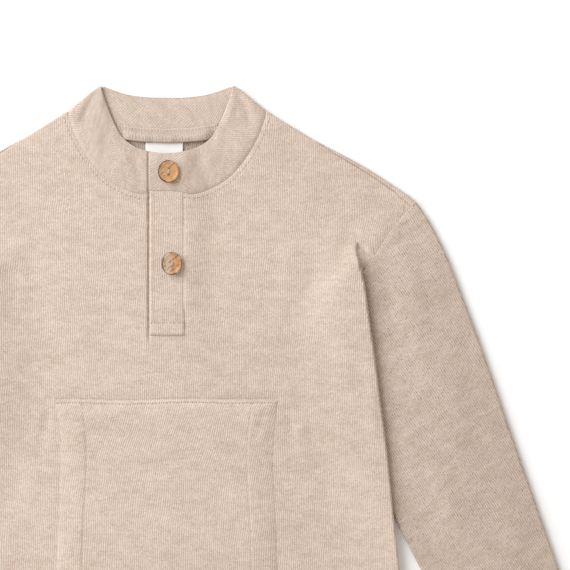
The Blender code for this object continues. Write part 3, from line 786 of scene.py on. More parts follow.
def share_of(stretch, partner, partners):
    """The part of a stretch that faces one of several partners across a notch."""
    low, high = 0, len(stretch) - 1
    places = np.array([place for place, _ in stretch])
    for other in partners:
        if other is partner:
            continue
        if other[0][0] > partner[-1][0]:
            cut = (partner[-1][0] + other[0][0]) / 2
            high = min(high, int(np.abs(places - cut).argmin()))
        else:
            cut = (other[-1][0] + partner[0][0]) / 2
            low = max(low, int(np.abs(places - cut).argmin()))
    return stretch[low : high + 1]


def weave(outline, row, columns, lines=()):
    """Points and triangles of a flat panel, in wale space."""
    closed = np.vstack([outline, outline[:1]])
    spots = []
    faces = []
    before = []
    for u in columns:
        ends = crossings(closed, u)
        marks = [crossings(line, u)[:, None] + np.array(offsets) for line, offsets in lines]
        marks = np.concatenate([m.ravel() for m in marks]) if marks else np.zeros(0)
        here = []
        for low, high in zip(ends[0::2], ends[1::2]):
            if high - low > 0.02:
                rows = column_rows(low, high, marks, row)
                here.append([(v, len(spots) + n) for n, v in enumerate(rows)])
                spots += [(u, v) for v in rows]
        pairs = [(a, b) for a in before for b in here if a[0][0] < b[-1][0] and b[0][0] < a[-1][0]]
        for a, b in pairs:
            left = share_of(a, b, [q for p, q in pairs if p is a])
            right = share_of(b, a, [p for p, q in pairs if q is b])
            faces += zipped(left, right)
        before = here
    return np.array(spots), np.array(faces)


def wale_columns(outline, steps=RIB_STEPS, corners=(), fine=None, coarse=8.0):
    """Columns on the wales, with a close pair at each upright edge of the outline."""
    low, high = outline[:, 0].min(), outline[:, 0].max()
    step = WALE / steps
    columns = np.arange(math.ceil((low + 0.05) / step), math.floor((high - 0.05) / step) + 1) * step
    if fine is not None:
        skip = max(1, round(coarse / step))
        number = np.round(columns / step).astype(int)
        columns = columns[fine(columns) | (number % skip == 0)]
    edges = [low + 0.01, high - 0.01]
    for corner in corners:
        edges += [corner - 0.01, corner + 0.01]
    columns = [u for u in columns if min(abs(u - e) for e in edges) > 0.04]
    return np.sort(np.concatenate([columns, edges]))


def rim_loops(faces):
    """The border of a triangle net, as loops of point numbers in the faces' own turn."""
    edges = np.concatenate([faces[:, [0, 1]], faces[:, [1, 2]], faces[:, [2, 0]]])
    size = faces.max() + 1
    forward = edges[:, 0].astype(np.int64) * size + edges[:, 1]
    backward = edges[:, 1].astype(np.int64) * size + edges[:, 0]
    border = edges[~np.isin(forward, backward)]
    after = dict(border.tolist())
    loops = []
    while after:
        start, here = after.popitem()
        loop = [start]
        while here != start:
            loop.append(here)
            here = after.pop(here)
        loops.append(loop)
    return sorted(loops, key=len, reverse=True)


print("rib step", round(WALE / RIB_STEPS, 3), "mm")

# %% [markdown]
# ## From a flat net to a shell
#
# The top follows the ribs, the bottom is a coarse net, and a narrow band joins them at
# the rim. How the top meets the rim depends on the edge: a free hem rolls over, a seam
# sinks into its stitches, and a fold rounds down to meet the layer below.

# %% Shells
HEM_ROLL = 1.5
FOLD_ROLL = 1.3
SEAM_SINK = 0.3
GROOVE_ROWS = (-1.1, -0.55, -0.2, 0.2, 0.55, 1.1)
THINNEST = 0.2
SWAY_FADE = 7.0  # the wales run straight at the rim, and wander this far in
DRAG_FADE = 15.0
RELIEF_FADE = 6.0


def outline_of(parts):
    return np.vstack([line[:-1] for _, line in parts])


def rim_gaps(points, parts):
    gaps = {}
    for kind, line in parts:
        gap = to_line(points, line)[0]
        gaps[kind] = np.minimum(gaps.get(kind, np.inf), gap)
    return gaps


def wall_share(gaps):
    """How much of the cloth's thickness stands at each point, by its way to the rim."""
    share = np.ones(len(next(iter(gaps.values()))))
    for kind, gap in gaps.items():
        if kind == "hem":
            t = 1.0 - np.clip(gap / HEM_ROLL, 0.0, 1.0)
            share = np.minimum(share, 0.35 + 0.65 * np.sqrt(1.0 - t * t))
        elif kind == "fold":
            t = 1.0 - np.clip(gap / FOLD_ROLL, 0.0, 1.0)
            share = np.minimum(share, 0.12 + 0.88 * np.sqrt(1.0 - t * t))
        elif kind == "seam":
            sink = SEAM_SINK * np.exp(-((gap / 0.85) ** 2)) + 0.12 * np.exp(-((gap / 3.2) ** 2))
            share = share - sink / CLOTH
    return np.maximum(share, 0.12)


def inside(points, outline):
    odd = np.zeros(len(points), bool)
    for a, b in zip(outline, np.roll(outline, -1, axis=0)):
        if a[1] == b[1]:
            continue
        crosses = (a[1] > points[:, 1]) != (b[1] > points[:, 1])
        at = a[0] + (points[:, 1] - a[1]) / (b[1] - a[1]) * (b[0] - a[0])
        odd ^= crosses & (points[:, 0] < at)
    return odd


def ribs(u):
    """A wale's round back and the narrow furrow between it and the next."""
    return np.abs(np.cos(math.pi * u / WALE)) ** 0.8


def sway(points):
    """How far the wales wander sideways from a straight line."""
    x, y = points.T
    wander = 0.42 * np.sin(y / 7.3 + x / 27.0) + 0.3 * np.sin(y / 4.6 - x / 14.0 + 1.3)
    wander += 0.35 * np.sin(y / 15.0 + x / 9.0 + 0.5)
    return np.column_stack([wander, np.zeros(len(x))])


def drag(points):
    """Beside the armhole the wales lean along with its seam."""
    x, y = points.T
    beside = smooth((np.abs(x) - 112.0) / 24.0) * smooth((y - 74.0) / 12.0) * smooth((134.0 - y) / 26.0)
    return np.column_stack([np.sign(x) * beside * 3.4 * np.sin((y - 96.0) / 14.0), np.zeros(len(x))])


def mesh_object(name, points, faces, uvs, material):
    mesh = bpy.data.meshes.new(name)
    mesh.from_pydata((np.asarray(points) * 0.001).tolist(), [], faces)
    layer = mesh.uv_layers.new(name="wales")
    corners = np.zeros(len(mesh.loops), np.int32)
    mesh.loops.foreach_get("vertex_index", corners)
    layer.data.foreach_set("uv", (np.asarray(uvs) * 0.001)[corners].astype(np.float32).ravel())
    mesh.shade_smooth()
    mesh.materials.append(material)
    made = bpy.data.objects.new(name, mesh)
    bpy.context.scene.collection.objects.link(made)
    return made


def coarse_net(rim, pitch, insets=(0.9, 2.8)):
    """Triangles that fill a rim, through a coarse net of inner points."""
    along = np.roll(rim, -1, axis=0) - np.roll(rim, 1, axis=0)
    inward = np.stack([-along[:, 1], along[:, 0]], axis=1) / np.maximum(np.hypot(*along.T), 1e-9)[:, None]
    run = np.concatenate([[0.0], np.cumsum(np.hypot(*np.diff(rim, axis=0).T))])
    chosen = np.unique(np.searchsorted(run, np.arange(0.0, run[-1], 4.0)))
    low, high = rim.min(0), rim.max(0)
    xs, ys = np.meshgrid(np.arange(low[0], high[0], pitch), np.arange(low[1], high[1], pitch * 0.87))
    xs[1::2] += pitch / 2
    lattice = np.stack([xs.ravel(), ys.ravel()], axis=1)
    found = [(lattice, 0.5 * pitch)]
    for by in insets:
        found.append((rim[chosen] + inward[chosen] * by, 0.7 * by))
    loop = np.vstack([rim, rim[:1]])[:: max(1, len(rim) // 700)]
    kept = []
    for spots, clear in found:
        spots = spots[inside(spots, rim)]
        kept.append(spots[to_line(spots, np.vstack([loop, rim[:1]]))[0] > clear])
    spots = np.vstack([rim, *kept])
    flat, _, faces, *_ = geometry.delaunay_2d_cdt(
        [Vector(spot) for spot in spots], [], [list(range(len(rim)))], 1, 1e-7
    )
    flat = np.array([tuple(spot) for spot in flat])
    assert len(flat) == len(spots), "the rim crosses itself"
    return flat, [tuple(face) for face in faces]


def shell(name, parts, under, relief=None, material=None, cloth=CLOTH, place=None, unplace=None, row=6.0,
          lines=(), grooves=(), corners=(), fine=None, rib_depth=RIB_DEPTH, under_roll=False, pitch=13.0,
          raised=None, steps=RIB_STEPS):
    """A closed cloth panel with ribs on its top."""
    outline = outline_of(parts)
    to_wales = unplace or (lambda points: points)
    to_cloth = place or (lambda points: points)
    marks = [(to_wales(line), offsets) for line, offsets in lines]
    marks += [(to_wales(line), GROOVE_ROWS) for line, _, _ in grooves]
    flat_outline = to_wales(outline)
    wales, faces = weave(flat_outline, row, wale_columns(flat_outline, steps, corners, fine), marks)
    points = to_cloth(wales)
    gaps = rim_gaps(points, parts)
    rim_gap = np.min(list(gaps.values()), axis=0)
    swayed = sway(points) * smooth(rim_gap / SWAY_FADE)[:, None]
    points = points + swayed + drag(points) * smooth(rim_gap / DRAG_FADE)[:, None]
    low = under(points)
    wall = cloth * (np.ones(len(points)) if under_roll else wall_share(gaps))
    fade = smooth(rim_gap / 1.6)
    height = low + wall + rib_depth * (ribs(wales[:, 0]) - 0.6) * fade
    if relief is not None:
        height += relief(points) * smooth(rim_gap / RELIEF_FADE)
    if raised is not None:
        height += raised(points)
    for line, width, depth in grooves:
        height -= depth * np.exp(-((to_line(points, line)[0] / width) ** 2))
    height = np.maximum(height, low + THINNEST)

    loops = rim_loops(faces)
    rim = loops[0]
    rim_points = points[rim]
    bottom, bottom_faces = coarse_net(rim_points, pitch)
    bottom_low = under(bottom)
    if under_roll:
        bottom_low = bottom_low + cloth * (1.0 - wall_share(rim_gaps(bottom, parts)))
    start = len(points)
    count = len(rim)
    all_points = np.vstack([np.column_stack([points, height]), np.column_stack([bottom, bottom_low])])
    all_uvs = np.vstack([wales, to_wales(bottom)])
    all_faces = faces.tolist()
    all_faces += [tuple(start + i for i in reversed(face)) for face in bottom_faces]
    for i in range(count):
        n = (i + 1) % count
        all_faces.append((rim[n], rim[i], start + i, start + n))
    made = mesh_object(name, all_points, all_faces, all_uvs, material or knit_cloth)
    print(f"{name}: {len(all_faces)} faces, {len(loops)} loop")
    return made


# %% [markdown]
# ## Back
#
# The back lies on the floor with its right side down. At both shoulders it comes over
# the fold to the seam on the front, so its top is raised there by one layer. Only those
# strips and the inside of the neck can be seen from above, so only they get ribs.

# %% Back panel
def upright(function, low, high, step=4.0):
    ys = np.linspace(low, high, max(2, math.ceil(abs(high - low) / step) + 1))
    return np.stack([function(ys), ys], axis=1)


def hem_line(half_width):
    xs = np.linspace(-half_width, half_width, 60)
    return np.stack([xs, HEM_Y + HEM_CORNER_RISE * (xs / half_width) ** 2], axis=1)


hem_half = float(edge_at(HEM_Y + HEM_CORNER_RISE))
hidden_armhole = upright(sleeve_at, ARMHOLE_END_Y, UNDERARM_Y)[1:]


def joined(*lines):
    return np.vstack([lines[0]] + [line[1:] for line in lines[1:]])


def mirrored_parts(parts):
    return [(kind, mirrored(line)[::-1]) for kind, line in reversed(parts)]


back_side = upright(edge_at, HEM_Y + HEM_CORNER_RISE, FLAP_TOP - 2.0)
shoulder_fold = joined(path(SHOULDER_FOLD[:2], 3.0), path(SHOULDER_FOLD[1:], 3.0))
back_neck = path(BACK_NECK, 2.5)
back_half = [
    ("fold", back_side),
    ("plain", np.vstack([back_side[-1:], hidden_armhole[::-1], armhole_line[::-1]])),
    ("fold", shoulder_fold[::-1]),
    ("seam", back_neck),
]
back_parts = [("hem", hem_line(hem_half)), *back_half, *mirrored_parts(back_half)]


def yoke(points):
    """One layer more beyond the shoulder seam, rounded at the fold."""
    x = np.abs(points[:, 0])
    folded = np.column_stack([x, points[:, 1]])
    gap, turn, _ = to_line(folded, shoulder_line)
    beyond = (turn > 0.0) & (x > SHOULDER_SEAM[0][0]) & (points[:, 1] > SHOULDER_SEAM[-1][1] - 1.0)
    fold_gap = to_line(folded, shoulder_fold)[0]
    t = 1.0 - np.clip(fold_gap / FOLD_ROLL, 0.0, 1.0)
    roll = 1.0 - np.sqrt(1.0 - t * t)
    sink = 0.4 * np.exp(-((gap / 0.8) ** 2))
    return np.where(beyond, (LAYER - sink) * np.clip(gap / 0.12, 0.0, 1.0) - 1.7 * roll, 0.0)


seam_rows = (-0.8, -0.3, 0.02, 0.14, 0.5, 1.1)
back = shell(
    "back_panel", back_parts, back_under, raised=yoke, under_roll=True,
    lines=[(shoulder_line, seam_rows), (mirrored(shoulder_line), seam_rows)],
    fine=lambda u: (np.abs(u) > 94.0) & (np.abs(u) < 168.0) | (np.abs(u) < 44.0), row=12.0,
)

# %% [markdown]
# Inside the neck the back shows its wrong side, and it lies in the collar's shade. A
# second, darker material on those faces alone paints that shade, and the back stays one shell.

# %% Inside of the back neck
# Painted shade: the collar's shade inside the neck, as a darker, more furrowed knit on these faces.
neck_shade_cloth = knit("knit_neck_inside", tone=0.81, rib_shade=0.5)
back.data.materials.append(neck_shade_cloth)
for face in back.data.polygons:
    x, y, z = face.center * 1000.0
    face.material_index = int(abs(x) < 62.0 and y > 112.0 and z > 0.5 * CLOTH)
print("neck inside:", sum(face.material_index for face in back.data.polygons), "faces")

# %% [markdown]
# ## Front
#
# One panel with a slot for the placket. Its sides roll over to meet the back, and at the
# armpit a fold runs on into the panel. The fold is a change of height, not a cut, so the
# cloth stays whole there, and the columns only get one more row at the armhole's end.

# %% Front panel
slot_y = PLACKET_FOOT + PLACKET_BOX
front_side = upright(edge_at, HEM_Y + HEM_CORNER_RISE, ARMHOLE_END_Y)
neck_right = neck_line[neck_line[:, 0] > PLACKET_HALF + 0.8]
neck_left = mirrored(neck_line[neck_line[:, 0] > -SLOT_LEFT + 0.8])[::-1]
slot_right = (PLACKET_HALF, neck_height(PLACKET_HALF))
slot_left = (SLOT_LEFT, neck_height(-SLOT_LEFT))
front_right = [
    ("fold", front_side),
    ("seam", joined(armhole_line[::-1][:-1], shoulder_line[::-1])),
    ("fold", path(SHOULDER_FOLD[:2], 3.0)[::-1]),
    ("seam", np.vstack([neck_right, [slot_right]])),
]
front_left = mirrored_parts(front_right[:3])
front_parts = [
    ("hem", hem_line(hem_half)),
    *front_right,
    ("seam", np.array([slot_right, (PLACKET_HALF, slot_y)])),
    ("plain", np.array([(PLACKET_HALF, slot_y), (SLOT_LEFT, slot_y), slot_left])),
    ("seam", np.vstack([[slot_left], neck_left])),
    *front_left,
]
armpit = np.array([(129.2, ARMHOLE_END_Y), (130.9, ARMHOLE_END_Y)])
HEM_ROWS = (17.0, 20.0)  # how far the two stitch rows lie from a hem or a cuff
hem_stitches = [hem_line(hem_half - 3.0) + (0.0, by) for by in HEM_ROWS]
placket_shadow = np.array([(-PLACKET_HALF - 0.7, PLACKET_FOOT), (-PLACKET_HALF - 0.7, 123.0)])
pocket_edge_at = curve([y for y, _ in POCKET_SIDE], [x for _, x in POCKET_SIDE])
pocket_side = upright(pocket_edge_at, POCKET_FOOT, POCKET_TOP, 3.0)


def pocket_top_line(by=0.0, half=POCKET_HALF):
    """The pocket's top edge waves a little between its stitches."""
    xs = np.linspace(half, -half, 100)
    wave = 0.35 * np.sin(xs / 11.0 + 0.6) + 0.3 * np.sin(xs / 23.0)
    ends = smooth((half - np.abs(xs)) / 6.0)
    return np.stack([xs, POCKET_TOP + by + wave * ends], axis=1)


front_grooves = [(line, 0.6, 0.3) for line in hem_stitches]
front_grooves += [
    (placket_shadow, 0.9, 1.3),
    (pocket_top_line(0.5), 0.6, 0.45),
]
front = shell(
    "front_panel", front_parts, front_under, relief=front_relief, raised=armpit_dip,
    lines=[(armpit, (0.0,)), (mirrored(armpit), (0.0,))],
    grooves=front_grooves, corners=(SLOT_LEFT, PLACKET_HALF), row=7.0,
)

# %% [markdown]
# ## Sleeves
#
# A sleeve is a tube laid flat: two ribbed layers joined along both folds and open at the
# cuff and the armhole. The wales run slanting over it, because the sleeve was cut
# straight and lies turned. Outside and inside skins share one net.

# %% Sleeve
SLEEVE_LEAN = math.radians(33.0)
SLEEVE_SEAM_SHIFT = (-0.35, 0.35)  # moves the sleeve's seam edge towards the body
lean = np.array([
    [math.cos(SLEEVE_LEAN), math.sin(SLEEVE_LEAN)],
    [-math.sin(SLEEVE_LEAN), math.cos(SLEEVE_LEAN)],
])

sleeve_seam = np.vstack([armhole_line, hidden_armhole])
sleeve_under = upright(sleeve_at, UNDERARM_Y, CUFF_Y)
sleeve_outer = path(SLEEVE_OUTER, 3.0)
cuff = np.array([sleeve_outer[-1], sleeve_under[-1]])
cuff = cuff[0] + np.linspace(0.0, 1.0, 30)[:, None] * (cuff[1] - cuff[0])
sleeve_parts = [
    ("end", sleeve_seam + SLEEVE_SEAM_SHIFT),
    ("fold", sleeve_under),
    ("end", cuff[::-1]),
    ("fold", sleeve_outer[::-1]),
]
sleeve_parts[0][1][-1] = sleeve_under[0]
sleeve_parts[0][1][0] = sleeve_outer[0]


def cuff_row(by):
    """A line across the sleeve, moved up it from the cuff."""
    along = sleeve_outer[-3] - sleeve_outer[-1]
    return cuff[1:-1] + along / np.hypot(*along) * by


def sleeve_puff(points):
    """The sleeve stands highest along its outer half and sinks at both ends."""
    outer_gap = to_line(points, sleeve_outer)[0]
    inner_gap = to_line(points, sleeve_under)[0]
    seam_gap = to_line(points, sleeve_seam)[0]
    cuff_gap = to_line(points, cuff)[0]
    across = outer_gap / np.maximum(outer_gap + inner_gap, 1e-6)
    over_width = np.sin(math.pi * np.clip(across / 0.85, 0.0, 1.0)) ** 1.2
    return SLEEVE_PUFF * over_width * smooth(seam_gap / 50.0) * (0.35 + 0.65 * smooth(cuff_gap / 45.0))


def make_sleeve(name, side):
    outline = outline_of(sleeve_parts)[::-1] @ lean.T
    grooves = [cuff_row(by) for by in HEM_ROWS]
    marks = [(line @ lean.T, (-0.6, 0.0, 0.6)) for line in grooves]
    wales, faces = weave(outline, 5.0, wale_columns(outline), marks)
    points = wales @ lean
    gaps = rim_gaps(points, sleeve_parts)
    t = 1.0 - np.clip(gaps["fold"] / FOLD_ROLL, 0.0, 1.0)
    arch = 0.08 + 0.92 * np.sqrt(1.0 - t * t)
    mid = SLEEVE_TOP / 2
    seam_sink = 0.3 * np.exp(-((gaps["end"] / 0.8) ** 2)) * smooth((points[:, 1] - 76.0) / 8.0)
    from_body = points[:, 0] - edge_at(points[:, 1])
    beside_body = np.exp(-((np.maximum(from_body - 2.0, 0.0) / 8.0) ** 2))
    drawn = 1.0 + 2.0 * beside_body * smooth((70.0 - points[:, 1]) / 8.0)
    rib = RIB_DEPTH * drawn * (ribs(wales[:, 0]) - 0.6) * smooth(gaps["fold"] / 1.6)
    relief = crease_relief(points, SLEEVE_CREASES) * smooth(gaps["fold"] / 8.0)
    top = mid + arch * (mid + sleeve_puff(points) + relief - seam_sink) + rib
    for line in grooves:
        top -= 0.3 * np.exp(-((to_line(points, line)[0] / 0.6) ** 2))
    top = np.maximum(top, mid + 0.06)
    bottom = mid - arch * mid

    fold_points = [to_line(points, line) for kind, line in sleeve_parts if kind == "fold"]
    inner = points.copy()
    for gap, _, nearest in fold_points:
        away = (points - nearest) / np.maximum(gap, 1e-6)[:, None]
        inner += away * (1.5 * np.clip(1.0 - gap / 5.0, 0.0, 1.0))[:, None]
    inner_top = np.maximum(top - CLOTH, mid + 0.04)
    inner_bottom = np.minimum(bottom + CLOTH, mid - 0.04)

    count = len(points)
    skins = [
        np.column_stack([points, top]),
        np.column_stack([points, bottom]),
        np.column_stack([inner, inner_top]),
        np.column_stack([inner, inner_bottom]),
    ]
    net = faces.tolist()
    turned = faces[:, ::-1].tolist()
    all_faces = net + [[i + count for i in f] for f in turned]
    all_faces += [[i + 2 * count for i in f] for f in turned] + [[i + 3 * count for i in f] for f in net]
    rim = rim_loops(faces)[0]
    is_end = gaps["end"] < gaps["fold"]
    for a, b in zip(rim, rim[1:] + rim[:1]):
        if is_end[a] and is_end[b]:
            all_faces.append([b, a, a + 2 * count, b + 2 * count])
            all_faces.append([a + count, b + count, b + 3 * count, a + 3 * count])
        else:
            all_faces.append([b, a, a + count, b + count])
            all_faces.append([a + 2 * count, b + 2 * count, b + 3 * count, a + 3 * count])
    for before, here, after in zip(rim[-1:] + rim[:-1], rim, rim[1:] + rim[:1]):
        enters = (is_end[here] and is_end[after]) and not (is_end[before] and is_end[here])
        leaves = (is_end[before] and is_end[here]) and not (is_end[here] and is_end[after])
        if enters or leaves:
            corner = [here, here + count, here + 3 * count, here + 2 * count]
            all_faces.append(corner if enters else corner[::-1])
    all_points = np.vstack(skins)
    all_uvs = np.vstack([wales] * 4)
    if side < 0:
        all_points = all_points * (-1.0, 1.0, 1.0)
        all_faces = [face[::-1] for face in all_faces]
        all_uvs = all_uvs + (411.0, 137.0)
    made = mesh_object(name, all_points, all_faces, all_uvs, sleeve_shaded_cloth)
    print(f"{name}: {len(all_faces)} faces")
    return made


sleeve_left = make_sleeve("sleeve_left_tube", 1)
sleeve_right = make_sleeve("sleeve_right_tube", -1)

# %% [markdown]
# ## Placket and pocket
#
# Two strips close the front opening, the wearer's left one on top, with its foot sewn
# down in a box. Each is a narrow panel, so the same mesher makes them.

# %% Placket strips
def strip_parts(left, right, foot, side, left_kind, right_kind):
    head = [(x, neck_height(side * x)) for x in np.linspace(right, left, 12)]
    return [
        ("hem", np.array([(left, foot), (right, foot)])),
        (right_kind, np.array([(right, foot), head[0]])),
        ("seam", np.array(head)),
        (left_kind, np.array([head[-1], (left, foot)])),
    ]


def over_level(points):
    """The upper strip lifts a little along its free edge."""
    free = smooth((points[:, 0] + PLACKET_HALF) / -4.0 + 1.0)
    above_box = smooth((points[:, 1] - slot_y) / 12.0)
    return body_level(points) + LAYER + 0.35 * free * above_box


def strip_foot(points):
    """The strip is pressed thin where its foot is sewn down."""
    return -1.1 * (1.0 - smooth((points[:, 1] - slot_y) / 13.0))


box_line = np.array([(-PLACKET_HALF + 1.0, slot_y), (PLACKET_HALF - 0.2, slot_y)])
upper_strip_parts = strip_parts(-PLACKET_HALF, PLACKET_HALF, PLACKET_FOOT, 1, "hem", "seam")
under_strip_parts = strip_parts(SLOT_LEFT, PLACKET_HALF, slot_y, -1, "plain", "plain")
placket_upper = shell(
    "placket_upper_strip", upper_strip_parts, over_level, grooves=[(box_line, 0.6, 0.3)],
    raised=strip_foot, row=5.0, pitch=7.0,
)
placket_under = shell("placket_under_strip", under_strip_parts, body_level, row=8.0, pitch=7.0)

# %% [markdown]
# The pocket is one patch on the front, open at its sides, which bow in a little. Its
# wales lean over near the top, so the mesher works in leaning wale space and a pair of
# functions carries the points there and back.

# %% Pocket
POCKET_LEAN = 0.36  # the pocket's wales lean to the right near its top
FACING = 17.0
POCKET_CLOTH = 1.3


def pocket_shift(y):
    return POCKET_LEAN * 22.0 * np.log1p(np.exp((y + 60.0) / 22.0))


def pocket_place(wales):
    return np.column_stack([wales[:, 0] + pocket_shift(wales[:, 1]), wales[:, 1]])


def pocket_unplace(points):
    return np.column_stack([points[:, 0] - pocket_shift(points[:, 1]), points[:, 1]])


def pocket_under(points):
    """The pocket lies on the front, and close on it along its edges."""
    inner = np.minimum(pocket_edge_at(points[:, 1]) - np.abs(points[:, 0]), POCKET_TOP - points[:, 1])
    return front_under(points) + CLOTH + SEAM_GAP * (1.25 * smooth(inner / 5.0) - 0.25)


facing_line = upright(lambda y: pocket_edge_at(y) - FACING, POCKET_FOOT + 1.0, POCKET_TOP - 3.0, 3.0)


def pocket_relief(points):
    """Behind each side opening the cloth is double, and its edge stands a little open."""
    inner = pocket_edge_at(points[:, 1]) - np.abs(points[:, 0])
    double = 0.18 * smooth((FACING - inner) / 1.6)
    return crease_relief(points, POCKET_CREASES) + double


def pocket_edges(points):
    """The pocket's edges are pressed flat on to the front."""
    side_gap = pocket_edge_at(points[:, 1]) - np.abs(points[:, 0])
    top_gap = POCKET_TOP - points[:, 1]
    side = 1.0 - smooth(side_gap / 14.0)
    return -0.9 * side - 0.6 * (1.0 - smooth(top_gap / 8.0)) * (1.0 - side)


pocket_top = pocket_top_line()
pocket_parts = [
    ("seam", np.stack([np.linspace(-POCKET_HALF, POCKET_HALF, 60), np.full(60, POCKET_FOOT)], axis=1)),
    ("hem", np.vstack([pocket_side[:-1], pocket_top[:1]])),
    ("hem", pocket_top),
    ("hem", np.vstack([pocket_top[-1:], mirrored(pocket_side)[::-1][1:]])),
]
pocket_top_stitches = pocket_top_line(-2.1, 72.5)
pocket = shell(
    "pocket_panel", pocket_parts, pocket_under, relief=pocket_relief, raised=pocket_edges, cloth=POCKET_CLOTH,
    place=pocket_place, unplace=pocket_unplace,
    grooves=[(pocket_top_stitches, 0.6, 0.3), (facing_line, 0.6, 0.16), (mirrored(facing_line), 0.6, 0.16)],
    row=5.0,
)

# %% [markdown]
# ## Collar
#
# The stand collar is a double band that runs once round the neck: from its right end
# under the placket, round the back and to its left end on top. It is lofted from
# sections: each one goes up the outside, round the folded top edge and down the inside.
# Its wales slant and meet in a chevron, which columns can't follow, so here the ribs are
# left to the material.

# %% Collar
Section = namedtuple("Section", "base top level turn")
FOLD_RADIUS = 1.4
HALF_WALL = COLLAR_CLOTH / 2
COLLAR_BITE = 0.45
BACK_CENTRE = HALF_WALL
FRONT_CENTRE = COLLAR_LEVEL + HALF_WALL
BACK_SECTIONS = 130
FRONT_SECTIONS = 240
FOLD_SKIP = 9  # sections left out at the side, where the band turns over
TURN_SECTIONS = 15
collar_fold = np.array([FRONT_NECK[0], FRONT_COLLAR_TOP[0]])
fold_run = collar_fold[1] - collar_fold[0]
fold_out = np.array([fold_run[1], -fold_run[0]]) / np.hypot(*fold_run)


def collar_half(over):
    """Sections from the back's middle round the wearer's left side to the front end.
    Turn is 0 where the outside faces down, and pi where it faces up."""
    sections = []
    bases = path(BACK_NECK[::-1], count=BACK_SECTIONS)
    tops = path(BACK_COLLAR_TOP[::-1], count=BACK_SECTIONS)
    for base, top in zip(bases[:-FOLD_SKIP], tops[:-FOLD_SKIP]):
        sections.append(Section(base, top, BACK_CENTRE, -math.pi / 2))
    for turn in np.linspace(-math.pi / 2, math.pi / 2, TURN_SECTIONS)[1:-1]:
        out = (FOLD_RADIUS * math.cos(turn) - FOLD_RADIUS - HALF_WALL) * fold_out
        level = (BACK_CENTRE + FRONT_CENTRE) / 2 + FOLD_RADIUS * math.sin(turn)
        sections.append(Section(collar_fold[0] + out, collar_fold[1] + out, level, turn))
    bases = path(FRONT_NECK, count=FRONT_SECTIONS)
    tops = path(FRONT_COLLAR_TOP, count=FRONT_SECTIONS)
    for base, top in zip(bases[FOLD_SKIP:], tops[FOLD_SKIP:]):
        rise = COLLAR_OVERLAP_RISE * smooth((32.0 - base[0]) / 20.0) if over else 0.0
        sections.append(Section(base, top, FRONT_CENTRE + rise, math.pi / 2))
    return sections


def collar_slant(x):
    """The slant of the wales inside the back, steeper at the side."""
    return math.radians(47.0) + math.radians(19.0) * smooth((x - 18.0) / 26.0)


def collar_wales(points, faces_up):
    """How far across the wales a point is. Inside the back they slant one way, and on
    the front they level out and make a chevron beside the placket."""
    x, y = points.T
    slant = collar_slant(x)
    back = (x - 25.0) * np.sin(slant) - (y - 175.0) * np.cos(slant)
    x = np.abs(x + PLACKET_HALF) - PLACKET_HALF
    tilt = smooth((36.0 - x) / 22.0)
    chevron = np.sqrt((x - 12.0) ** 2 + 1.0)
    front = 0.82 * y + 0.2 * y * (1.0 - tilt) + 0.6 * chevron * tilt
    return np.where(faces_up, front, back)


def collar_courses(points, faces_up):
    """How far along a wale a point is, at right angles to the wales."""
    x, y = points.T
    slant = collar_slant(x)
    return np.where(faces_up, x - 0.15 * y, x * np.cos(slant) + y * np.sin(slant))


COLLAR_CREASES = (
    Crease(45, 193, 56, 168, 3.0, -0.95),
    Crease(43, 193, 40, 168, 3.2, 0.6),
    Crease(50, 186, 62, 168, 3.0, 0.3),
    Crease(44, 160, 33, 150, 5.0, -0.35),
    Crease(30, 147, 22, 136, 4.5, 0.3),
    Crease(22, 150, 14, 128, 3.5, -0.35),
)


